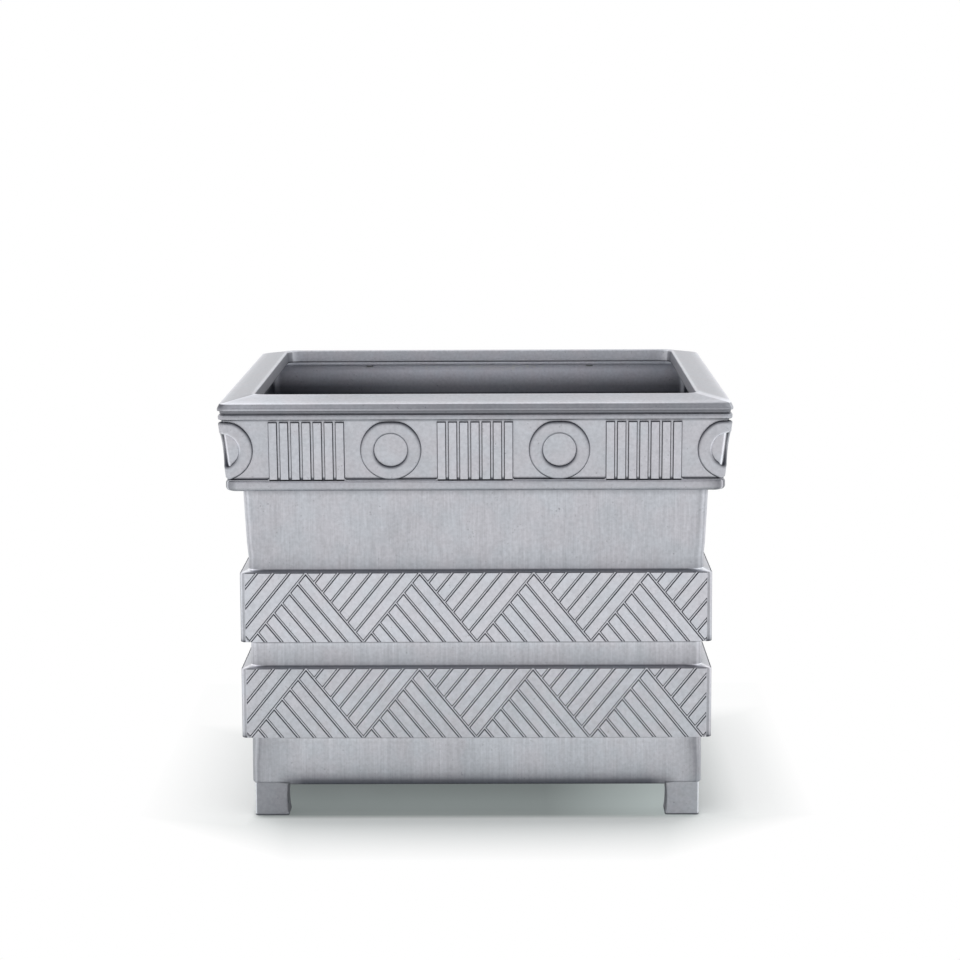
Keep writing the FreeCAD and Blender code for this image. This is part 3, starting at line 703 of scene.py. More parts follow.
@dataclass
class Panel:
    """One cast side of the body, from the base to the flange under the rim.

    Args:
        side: which side it is.
        levels: heights of its zones.
        reaches: distances of its faces from the middle.
        wall: thickness of the body's wall.
        crown_wall: thickness of the wall behind the frieze.
        body_corner: radius of the upright corner of wall, gap and inside.
        crown_corner: radius of the upright corner of the frieze.
        groove_depth: depth of the zigzag's grooves.
        groove_width: their width.
        margin: distance from a band's end to the first period of its zigzag.
        strip: width of the plain strip at a band's end.
        periods: periods of the zigzag.
        bars: bars in each of its triangles.
        ring_radii: outer radius of the frieze's rings and radius of their holes.
        ring_raise: how far they stand out.
        ring_pitch: distance between two groups of bars, as between two rings.
        group: bars of the frieze in one group.
        bar_pitch: distance between two of them.
        bar_width: width of these bars.
        bar_raise: how far they stand out.
        sill: height of the sill under the rings.
        sag: how much lower the base's lower edge hangs between the feet.
        feet_shade: painted shade of the base over the feet, 0 to 1.
    """

    side: Side
    levels: Levels = field(default_factory=Levels)
    reaches: Reaches = field(default_factory=Reaches)
    wall: float = 6.0 * MM
    crown_wall: float = 8.0 * MM
    body_corner: float = 9.0 * MM
    crown_corner: float = 4.5 * MM
    groove_depth: float = 1.2 * MM
    groove_width: float = 3.1 * MM
    margin: float = 8.0 * MM
    strip: float = 5.2 * MM
    periods: int = 4
    bars: int = 7
    ring_radii: Point = (29.2 * MM, 16.6 * MM)
    ring_raise: float = 3.7 * MM
    ring_pitch: float = 163.7 * MM
    group: int = 7
    bar_pitch: float = 10.85 * MM
    bar_width: float = 9.0 * MM
    bar_raise: float = 2.8 * MM
    sill: float = 1.3 * MM
    sag: float = 1.9 * MM
    feet_shade: float = 0.14

    @property
    def slope(self) -> float:
        """How far the frieze leans out for each unit of height."""
        reach, level = self.reaches, self.levels
        return (reach.frieze_head - reach.frieze_foot) / (level.fillet - level.frieze)

    def ledge_slope(self, band: Band) -> float:
        """Returns how far a band's ledge rises for each unit that it goes in."""
        return (band.top - band.head) / (self.reaches.band - band.above)

    def band_pair(self) -> tuple[Band, Band]:
        """Returns the low and the high band; the painted shade on the ledges is lighter on the flanks, and
        the high band's bars get a painted lightening.
        """
        level, reach = self.levels, self.reaches
        low_ledge, high_ledge = (0.10, 0.58), (0.45, 0.68)
        if self.side.flank:
            low_ledge = high_ledge = (0.0, 0.15)
        return (
            Band(
                level.low_band, level.low_head, level.gap, reach.base, reach.gap, *low_ledge,
                under=0.0, sheen=0.0, shift=0.0,
            ),
            Band(
                level.high_band, level.high_head, level.wall, reach.gap, reach.wall_foot, *high_ledge,
                under=0.05, sheen=0.5, shift=0.9 * MM,
            ),
        )

    def band_knees(self, band: Band) -> list[Knee]:
        """Returns the section of one band at the level of its groove floors.

        Args:
            band: the band.

        Returns:
            The section's corners, with painted shade and oxide on the faces next to the band and a painted
            highlight line under it.
        """
        floor = self.reaches.band - self.groove_depth
        lift = self.ledge_slope(band) * self.groove_depth
        return [
            *knee_rows(
                (band.below, band.foot),
                (0, -6.5, 0, 9, band.under, 0, 1),
                (0, -3.2, 0, 9, 0, 0.35, 1),
                (0, -1.8, 0, 9, 0.55, 0, 1),
                (0, 0, 0.7, 9, 0.95, 0, 1),
            ),
            *knee_rows((floor, band.foot), (0, 0, 0.5, 3, 0.25), (0, 0.9, 0, 3)),
            *knee_rows((floor, band.head), (0, 0, 0, 3), (0, lift / MM, 0.4, 3, band.front)),
            *knee_rows(
                (band.above, band.top),
                (0, 0, 0.7, 9, band.back, 0, 0.5),
                (0, 1.2, 0, 9, 0.32, 0, 1),
                (0, 6, 0, 9, 0.24, 0, 1),
                (0, 13, 0, 9, 0.14, 0, 1),
            ),
        ]

    def section(self) -> list[Knee]:
        """Returns the closed section of the casting, outside upwards and inside down."""
        return self.outer_knees() + self.crown_knees() + self.inner_knees()

    def outer_knees(self) -> list[Knee]:
        """Returns the outside of the section, with painted shade and oxide in its creases and painted shade
        darkening the base towards its lower edge.
        """
        level, reach, slope = self.levels, self.reaches, self.slope
        return [
            *knee_rows(
                (reach.base, level.base),
                (0, 0, 3, 6.5, 0.94, 0, 1, 0, 7),
                (0, 3.5, 0, 6.5, 0.83, 0, 1),
                (0, 4.3, 0, 6.5, 0.69, 0, 1),
                (0, 5.6, 0, 6.5, 0.53, 0, 1),
                (0, 11, 0, 6.5, 0.24, 0, 1),
                (0, 20, 0, 6.5, 0.08, 0, 1),
            ),
            *(knee for band in self.band_pair() for knee in self.band_knees(band)),
            *knee_rows((reach.wall_foot, level.wall), (1.2, 26, 0, 9, 0.10, 0, 1)),
            *knee_rows(
                (reach.wall_head, level.soffit),
                (-1.2, -26, 0, 9, 0.08, 0, 1),
                (-0.3, -7, 0, 9, 0.04, 0, 1),
                (-0.1, -2, 0, 9, 0.28, 0, 1),
                (0, 0, 0.9, 9, 0.7, 0, 1),
            ),
            *knee_rows((reach.bead, level.soffit), (0, 0, 4.3, 9, 0.16, 0, 0, 0, 7)),
            *knee_rows((reach.bead, level.frieze), (0, 0, 3.9, 9, 0.16, 0, 0, 0, 7)),
            *knee_rows(
                (reach.frieze_foot, level.frieze),
                (0, 0, 0.5, 4.5, 0.9),
                (slope * 1.9, 1.9, 0, 4.5, 0.75),
                (slope * 3.6, 3.6, 0, 4.5, 0.065),
            ),
            *knee_rows(
                (reach.frieze_head, level.fillet),
                (slope * -2.2, -2.2, 0, 4.5, 0.065),
                (0, 0, 0.5, 4.5, 0.45),
            ),
            *knee_rows((reach.fillet, level.fillet), (0, 0.2, 2.2, 7.5, 0.24, 0, 0, 0, 6)),
            *knee_rows((reach.fillet, level.seat), (0, 0, 1.7, 7.5, 0.28, 0, 0, 0, 5)),
            *knee_rows((reach.register, level.seat), (0, 0, 0, 4)),
            *knee_rows((reach.register, level.flange), (0, 0, 0.3, 4)),
        ]

    def crown_knees(self) -> list[Knee]:
        """Returns the flange under the rim and the inside of the crown, with painted light: a painted
        highlight on the flange and the upper wall, and painted shade lower down.
        """
        level, reach = self.levels, self.reaches
        return [
            *knee_rows(
                (reach.flange, level.flange),
                (0, 0, 0.5, 10, 0, 2.6, 0, 0.1),
                (0, -4, 0.8, 10, 0, 2.4, 0, 0.1),
            ),
            *knee_rows(
                (reach.frieze_head - self.crown_wall, level.flange),
                (0, -4, 1, 9, 0, 3.2, 0, 0.2),
                (-0.5, -12, 0, 9, 0, 3, 0, 0.2),
                (-1, -20, 0, 9, 0, 0.6, 0, 0.3),
                (-1.3, -25, 0, 9, 0.22, 0, 0, 0.4),
                (-1.6, -30, 0, 9, 0.53, 0, 0, 0.5),
                (-1.9, -36, 0, 9, 0.68, 0, 0, 0.5),
                (-2, -38, 0, 9, 0.97, 0, 0, 0.5),
                (-2.3, -44, 0, 9, 0.6, 0, 0, 0.8),
            ),
        ]

    def inner_knees(self) -> list[Knee]:
        """Returns the inside of the body, one wall behind its outside, darkened by painted shade and oxide.
        """
        level, reach, deep = self.levels, self.reaches, self.wall
        corners = [
            (reach.frieze_foot, level.soffit + deep),
            (reach.wall_head, level.soffit + deep),
            (reach.wall_foot, level.high_head - deep),
            (reach.band, level.high_head - deep),
            (reach.band, level.high_band + deep),
            (reach.gap, level.high_band + deep),
            (reach.gap, level.low_head - deep),
            (reach.band, level.low_head - deep),
            (reach.band, level.low_band + deep),
            (reach.base, level.low_band + deep),
        ]
        inside = [
            Knee(out - deep, up, 2.5 * MM, self.body_corner, shade_and_oxide=0.35, raw=1.0) for out, up in corners
        ]
        return [*inside, Knee(reach.base - deep, level.base, 0.8 * MM, self.body_corner, raw=1.0)]

    def frieze_mapper(self) -> Mapper:
        """Returns the map from the frieze's face to places.

        Distances along the face run from the middle of the side. Past the straight part they turn round the
        corner, and the mitre lies at the corner ring's middle for every raise.

        Returns:
            A function of (..., 3) along, up and raise.
        """
        level, reach, slope = self.levels, self.reaches, self.slope
        mitre = 1.5 * self.ring_pitch

        def place(flat: np.ndarray) -> np.ndarray:
            """Finds the places of points on the face.

            Args:
                flat: (..., 3) along, up and raise.

            Returns:
                (..., 3) places.
            """
            along, up, lift = flat[..., 0], flat[..., 1], flat[..., 2]
            out = reach.frieze_foot + slope * (up - level.frieze) + lift
            bend = self.crown_corner + np.maximum(lift, -3.0 * MM)
            straight = out - bend
            turn = np.clip((np.abs(along) - straight) / (mitre - straight), 0.0, None) * math.pi / 4.0
            x = np.sign(along) * np.where(turn > 0.0, straight + bend * np.sin(turn), np.abs(along))
            y = -np.where(turn > 0.0, straight + bend * np.cos(turn), out)
            return np.stack([x, y, up], axis=-1)

        return place

    def band_mapper(self, band: Band) -> Mapper:
        """Returns the map from a band's face to places, leaning back along the ledge at its top edge.

        Args:
            band: the band.

        Returns:
            A function of (..., 3) along, up and raise.
        """
        floor, rise = self.reaches.band - self.groove_depth, self.ledge_slope(band)

        def place(flat: np.ndarray) -> np.ndarray:
            """Finds the places of points on the face.

            Args:
                flat: (..., 3) along, up and raise.

            Returns:
                (..., 3) places.
            """
            along, up, lift = flat[..., 0], flat[..., 1], flat[..., 2]
            near = ramp(up, band.head - 1.5 * MM, band.head)
            return np.stack([along, -(floor + lift), up + near * rise * (self.groove_depth - lift)], axis=-1)

        return place

    def frieze(self, shape: Shape) -> None:
        """Adds the rings and bars of the frieze and the sills under its rings.

        Args:
            shape: the mesh to add to.
        """
        level, on_face = self.levels, self.frieze_mapper()
        middle = (level.frieze + level.fillet) / 2.0 + 0.1 * MM
        limits = (-29.6 * MM, 27.9 * MM)
        round_off = np.linspace(0.0, 0.5 * math.pi, 8)
        # rings darken at their foot for oxide and painted shade, and more as painted shade on walls that face
        # up
        ring = Relief(
            (-0.7 * MM, *(2.4 * MM * (1 - np.cos(round_off)) - 0.6 * MM), 2.6 * MM, 3.9 * MM),
            (-0.8 * MM, *(self.ring_raise * np.sin(round_off)), self.ring_raise, self.ring_raise),
            shade_and_oxide=(1.0, 1.0, 0.95, 0.70, 0.40, 0.22, 0.14, 0.11, 0.10, 0.10, 0.10),
            wear_and_highlight=(0.0,) * 11,
            shade=(1.0, 1.0, 1.0, 1.0, 0.92, 0.80, 0.66, 0.48, 0.34, 0.18, 0.10),
        )
        # the end rings of the front and back get a painted highlight in their holes
        bright = replace(ring, gleam=(1.0, 1.0, 1.0, 1.0, 1.0, 1.0, 0.8, 0.35, 0.1, 0.0, 0.0))
        ends = ring if self.side.flank else bright
        whole = (0.0, 360.0)
        for form, number, span in (
            (ring, -0.5, whole), (ring, 0.5, whole), (ends, -1.5, (-90, 90)), (ends, 1.5, (90, 270)),
        ):
            centre = (number * self.ring_pitch, middle)
            form.ring(shape, centre, self.ring_radii, on_face, span, limits)

        lift, half = self.bar_raise, self.bar_width / 2.0
        # bars darken at their foot for oxide and painted shade, with a faint painted highlight on their upper
        # rounding
        bar = Relief(
            (-0.05 * MM, 0, 0.45 * MM, 0.75 * MM, 0.95 * MM, 1.15 * MM),
            (-0.8 * MM, 0, lift - 0.7 * MM, lift - 0.15 * MM, lift, lift),
            shade_and_oxide=(0.6, 0.9, 0.9, 0.25, 0.0, 0.0),
            wear_and_highlight=(0.0, 0.0, 0.0, 0.1, 0.0, 0.0),
        )
        foot, head = level.frieze + 0.5 * MM, level.fillet - 1.9 * MM
        pitch, each_way = self.ring_pitch, self.group // 2
        for number in range(3 * self.group):
            x = (number // self.group - 1) * pitch + (number % self.group - each_way) * self.bar_pitch
            outline = np.array([[x - half, foot], [x + half, foot], [x + half, head], [x - half, head]])
            bar.island(shape, outline, np.array([0.8, 1.0, 1.0, 1.0]), on_face)

        near = each_way * self.bar_pitch + half - 0.5 * MM
        for start, stop in (
            (-1.5 * pitch, -pitch - near),
            (near - pitch, -near),
            (near, pitch - near),
            (pitch + near, 1.5 * pitch),
        ):
            self.sill_strip(shape, start, stop, on_face)

    def sill_strip(self, shape: Shape, start: float, stop: float, mapper: Mapper) -> None:
        """Adds the low sill under a ring, which rises in a quarter round where it meets a bar.

        The top is at the sill's height plus r - sqrt(r^2 - (r - d)^2), where d is the distance to a bar and
        r the radius of the round.

        Args:
            shape: the mesh to add to.
            start: where the strip starts along the face.
            stop: where it ends.
            mapper: the map of the frieze's face.
        """
        radius, mitre, lift = 2.4 * MM, 1.45 * self.ring_pitch, self.bar_raise
        parts = ((0.0, 0.06, 9), (0.08, 0.92, 15), (0.94, 1.0, 9))
        along = start + (stop - start) * np.concatenate([np.linspace(*part) for part in parts])
        left = along - start if start > -mitre else np.full_like(along, radius)
        right = stop - along if stop < mitre else np.full_like(along, radius)
        near = radius - np.clip(np.minimum(left, right), 0.0, radius)
        top = self.levels.frieze + self.sill + radius - np.sqrt(radius**2 - near**2)
        foot = np.full_like(top, self.levels.frieze - 0.2 * MM)
        # third number: painted shade and oxide, darkest on the sill's top wall that faces up
        rows = [
            (foot, -0.8 * MM, 0.5),
            (foot, lift - 0.4 * MM, 0.4),
            (foot + 0.3 * MM, lift - 0.1 * MM, 0.25),
            (top - 0.7 * MM, lift - 0.1 * MM, 0.25),
            (top - 0.45 * MM, lift - 0.25 * MM, 0.5),
            (top - 0.15 * MM, lift - 0.8 * MM, 0.95),
            (top + 0.3 * MM, 0, 1),
            (top + 0.35 * MM, -0.8 * MM, 0.8),
        ]
        flat = np.stack([np.stack([along, up, np.full_like(up, out)], axis=-1) for up, out, _ in rows])
        marks = np.zeros((*flat.shape[:2], 4))
        marks[..., 0] = np.array([row[2] for row in rows])[:, None]
        shape.grid(mapper(flat), marks)

    def zigzag_bars(self, band: Band) -> list[tuple[np.ndarray, np.ndarray]]:
        """Returns the outlines of the bars of one band with the share of the groove along each side.

        Every period holds a triangle on its base, cut in bars along its right side, and one on its point,
        cut the same way. The band's ends cut the last triangles off in their middle.

        Args:
            band: the band.

        Returns:
            Outlines, anticlockwise, each with its sides' shares.
        """
        half_period = (self.reaches.band - self.margin) / self.periods
        end = self.reaches.band - self.strip + 0.3 * MM
        least, narrow, same = 2.5 * MM, 6.0 * MM, 0.01 * MM
        outlines = []
        for number in range(-2, 2 * self.periods + 1):
            point_x = (number + 1) * half_period - self.reaches.band + self.margin + band.shift
            tip_y, edge_y = (band.head, band.foot) if number % 2 == 0 else (band.foot, band.head)
            for step in range(self.bars):
                cuts = (step / self.bars, (step + 1) / self.bars)
                left = [[point_x - share * half_period, tip_y + share * (edge_y - tip_y)] for share in cuts]
                edge = [[point_x + (1.0 - 2.0 * share) * half_period, edge_y] for share in cuts]
                corners = [left[0], *edge] if step == self.bars - 1 else [left[0], *edge, left[1]]
                outline = np.array(corners)
                following = np.roll(outline, -1, axis=0)
                area = np.sum(outline[:, 0] * following[:, 1] - following[:, 0] * outline[:, 1])
                outline = clipped(outline if area > 0.0 else outline[::-1], -end, True)
                outline = clipped(outline, end, False) if len(outline) else outline
                if len(outline) < 3 or np.ptp(outline[:, 0]) < least:
                    continue
                run, rise = np.abs(np.roll(outline, -1, axis=0) - outline).T
                groove = 1.0 if np.ptp(outline[:, 0]) > narrow else 0.05
                outlines.append((outline, np.where(rise < same, 0.12, np.where(run < same, 0.05, groove))))
        return outlines

    def bands(self, shape: Shape) -> None:
        """Adds the bars of both zigzag bands and the plain strips at their ends.

        Args:
            shape: the mesh to add to.
        """
        insets = np.array([-1.0, -0.95, -0.3, -0.05, 0.1, 0.35]) * MM + self.groove_width / 2.0
        for band in self.band_pair():
            # grooves darken for oxide and painted shade; the bars' upper edges and faces get painted
            # highlights
            bar = Relief(
                tuple(insets),
                (-0.6 * MM, 0, *(self.groove_depth - np.array([0.4, 0.08, 0.02, 0.02]) * MM)),
                shade_and_oxide=(0.9, 1.0, 1.0, 0.75, 0.0, 0.0),
                wear_and_highlight=(0.0, 0.0, 0.0, 0.2, band.sheen + 0.3, band.sheen),
            )
            mapper = self.band_mapper(band)
            for outline, sides in self.zigzag_bars(band):
                bar.island(shape, outline, sides, mapper)
            self.end_strips(shape, band)

    def end_strips(self, shape: Shape, band: Band) -> None:
        """Adds the plain strips that turn round the corners at both ends of a band.

        Args:
            shape: the mesh to add to.
            band: the band.
        """
        reach, depth, corner = self.reaches.band, self.groove_depth, self.strip / MM - 0.4
        bite, arc_steps = depth + 0.6 * MM, 6
        # the strip darkens at the band's foot for oxide and painted shade and gets a painted highlight on its
        # upper edge
        places, marks = rounded_section([
            *knee_rows((reach - bite, band.foot), (0, 0, 0, 2.2, 0.5)),
            *knee_rows(
                (reach, band.foot),
                (0, 0, 1.6, corner, 0.7), (0, 3, 0, corner, 0.25), (0, 7, 0, corner, 0.05),
            ),
            *knee_rows((reach, band.head), (0, 0, 0.9, corner, 0, 0.6)),
            *knee_rows((reach - bite, band.head + self.ledge_slope(band) * bite), (0, 0, 0, 2.2, 0.1)),
        ])
        columns = quarter_sweep(places, arc_steps, 2)[:, : arc_steps + 2].copy()
        drafted = np.clip((reach - places[:, 0]) / depth, 0.0, 1.0)
        columns[:, -1, 0] = self.strip - reach + 0.5 * MM * drafted
        columns[:, -1, 1] = -places[:, 0]
        # painted shade across the rounded corner, more at the right end, and painted highlights at both ends
        # of the strip
        for mirror, dark in ((1, 0.0), (-1, 0.12)):
            grid_marks = np.repeat(marks[:, None], columns.shape[1], axis=1)
            grid_marks[..., 0] += np.array([0.0, 0.03, 0.12, 0.22, 0.26, 0.22, 0.12, 0.0])[None] + dark
            grid_marks[..., 1] += np.array([1.6, 0.9, 0.1, 0.0, 0.0, 0.0, 0.0, 1.0])[None]
            placed = columns * np.array([mirror, 1.0, 1.0])
            shape.grid(placed[:, ::mirror], grid_marks[:, ::mirror])

    def flanges(self, shape: Shape) -> None:
        """Adds the bolting flange at each mitre and the lugs for the bottom plate.

        Args:
            shape: the mesh to add to.
        """
        corner = (self.reaches.gap - self.wall) * math.sqrt(2.0) - self.body_corner / math.sqrt(2.0)
        start, end, thick = corner - 27.0 * MM, corner + 6.0 * MM, 5.0 * MM
        square = np.array([[start, 0.0], [end, 0.0], [end, thick], [start, thick]])
        square = square @ turn_matrix(-45.0)[:2, :2].T
        foot, head = 70.0 * MM, 297.0 * MM
        lug_foot, lug_head, lug_place = 40.0 * MM, 47.0 * MM, 110.0 * MM
        # the flanges inside the mitres are darkened for oxide and painted shade
        for mirror in (1, -1):
            shape.block((square * (mirror, 1.0))[::-mirror], foot, head, shade_and_oxide=0.55)
        inside, half, bite, depth = self.wall - self.reaches.base, 8.0 * MM, 3.0 * MM, 16.0 * MM
        for x in (-lug_place, lug_place):
            left, right, outer, inner = x - half, x + half, inside - bite, inside + depth
            lug = np.array([[left, outer], [right, outer], [right, inner], [left, inner]])
            shape.block(lug, lug_foot, lug_head)

    def corner_marks(self, grid: np.ndarray, places: np.ndarray, marks: np.ndarray) -> np.ndarray:
        """Spreads the section's marks along the side.

        The corner's arc gets a painted highlight along its middle and painted shade where it leaves the
        face, and the bead gets painted shade there, with a painted glint at the right mitre. Over the feet
        the painted shade of the base's lower edge gives way to an even painted shade, by a smooth step of the
        distance from the middle. Inside, painted shade darkens the wall towards the corners by the same kind
        of step, and more on the flanks. The mitres of the ledges and of the frieze get painted highlights,
        and the flanks' frieze gets painted shade next to them.

        Args:
            grid: (P, columns, 3) places of the swept section.
            places: (P, 3) reach, height and plan radius of the section.
            marks: (P, 4) marks of the section.

        Returns:
            (P, columns, 4) marks.
        """
        level = self.levels
        feet_run, inner_run = (176.0 * MM, 202.0 * MM), (40.0 * MM, 200.0 * MM)
        crown_foot, lip = 350.0 * MM, 22.0 * MM
        spread = np.repeat(marks[:, None], grid.shape[1], axis=1)
        number = np.arange(grid.shape[1])
        from_end = np.minimum(number, number[::-1])

        def by_column(*values: float) -> np.ndarray:
            """Returns values by the column's number from the nearer end, the last one for all the rest."""
            return np.array(values)[np.minimum(from_end, len(values) - 1)][None]

        across, height, up = grid[..., 0], grid[..., 2], places[:, 1:2]
        left = across < 0.0
        outside = (marks[:, 3] < 0.05)[:, None]
        flat = outside & (marks[:, 2] > 0.0)[:, None]
        # painted highlight along the corner's arc, painted shade where it leaves the face
        dark = by_column(0.10, 0.0, 0.0, 0.0, 0.06, 0.12, 0.10, 0.04, 0.0) * np.where(left, 0.5, 1.0)
        spread[..., 1] += by_column(0.1, 0.4, 1.0, 0.5, 0.0) * np.where(flat, 1.0, 0.5) * outside
        spread[..., 0] += dark * flat

        # the bead: painted shade at the corners, a painted glint at the right mitre
        bead = outside & (up > level.soffit - 0.5 * MM) & (up < level.frieze + 0.5 * MM)
        left_bead = by_column(0.38, 0.38, 0.36, 0.32, 0.28, 0.22, 0.12, 0.0)
        right_bead = by_column(0.0, 0.1, 0.3, 0.40, 0.42, 0.40, 0.34, 0.24, 0.10, 0.0)
        spread[..., 1] = np.where(bead, by_column(2.4, 1.6, 0.0) * ~left, spread[..., 1])
        spread[..., 0] += bead * np.where(left, left_bead, right_bead)

        # the base over the feet: painted shade
        on_base = outside & (height < level.low_band - 1.0 * MM)
        over = smooth(ramp(np.abs(across), *feet_run)) * on_base
        left_dark = by_column(0.10, 0.0, 0.0, 0.0, 0.10, 0.20, 0.18, 0.08, 0.0)
        right_dark = by_column(0.26, 0.28, 0.32, 0.36, 0.40, 0.42, 0.38, 0.28, 0.10, 0.0)
        edge = np.where(left, self.feet_shade * 1.6 + left_dark, self.feet_shade * 0.7 + right_dark)
        spread[..., 0] = spread[..., 0] * (1.0 - over) + edge * over

        # the ledges: painted shade taken off and painted glints at the mitres
        ledge = np.zeros_like(outside)
        for band in self.band_pair():
            ledge |= outside & (up > band.head - 0.1 * MM) & (up < band.top + 0.8 * MM)
        keep = by_column(0.0, 0.0, 0.0, 0.0, 0.0, 0.0, 0.1, 0.5, 1.0)
        spread[..., 0] *= np.where(ledge, keep, 1.0)
        spread[..., 1] += ledge * by_column(2.8, 2.8, 2.8, 2.6, 2.2, 1.8, 1.2, 0.5, 0.0)

        # the frieze: painted shade by the flanks' mitres, painted highlights by the others
        frieze = outside & (up > level.frieze + 1.5 * MM) & (up < level.fillet - 1.0 * MM)
        if self.side.flank:
            spread[..., 0] += frieze * by_column(0.1, 0.6, 0.6, 0.6, 0.6, 0.6, 0.5, 0.5, 0.4, 0.3, 0.1, 0.0)
        else:
            spread[..., 1] += frieze * by_column(2.6, 2.6, 1.6, 0.4, 0.0)
            spread[..., 1] += (frieze & ~left) * by_column(0.4, 0.4, 1.4, 1.8, 0.8, 0.0)

        # inside: painted shade towards the corners and on the flanks
        inner = smooth(ramp(np.abs(across), *inner_run)) * np.where(left, 0.10, 0.27)
        inner = inner + (0.35 if self.side.flank else 0.0)
        if self.side is Side.BACK:
            below = left & (height < level.flange - lip)
            inner = inner - by_column(0.0, 0.3, 0.4, 0.4, 0.3, 0.1, 0.0) * below
        deep = (marks[:, 3] > 0.15)[:, None] & (height > crown_foot)
        spread[..., 0] = np.clip(spread[..., 0] + inner * deep, 0.0, 1.0)
        return spread

    def shape(self) -> Shape:
        """Returns the mesh of the front side, whose lower edge hangs a little lower between the feet."""
        made = Shape()
        places, marks = rounded_section(self.section())
        sag_ends, sag_columns = (186.7 * MM, 186.1 * MM), (0.8585, 0.8622)
        grid = quarter_sweep(places, extra=sag_columns)
        colours = self.corner_marks(grid, places, marks)
        low = ramp(grid[..., 2], self.levels.base + 5.0 * MM, self.levels.base + 2.0 * MM)
        between = ramp(np.abs(grid[..., 0]), *sag_ends)
        grid[..., 2] -= self.sag * low * between
        made.grid(grid[::-1], colours[::-1])
        self.frieze(made)
        self.bands(made)
        self.flanges(made)
        return made

    def build(self, material: bpy.types.Material) -> bpy.types.Object:
        """Builds the panel, turns it to its side and lets it stand for its node.

        Args:
            material: the casting's metal.

        Returns:
            The panel's object.
        """
        word = self.side.name.lower()
        piece = self.shape().turned(self.side.value).build(f"cast_panel_{word}", material)
        return settle(piece, f"{word}_panel")


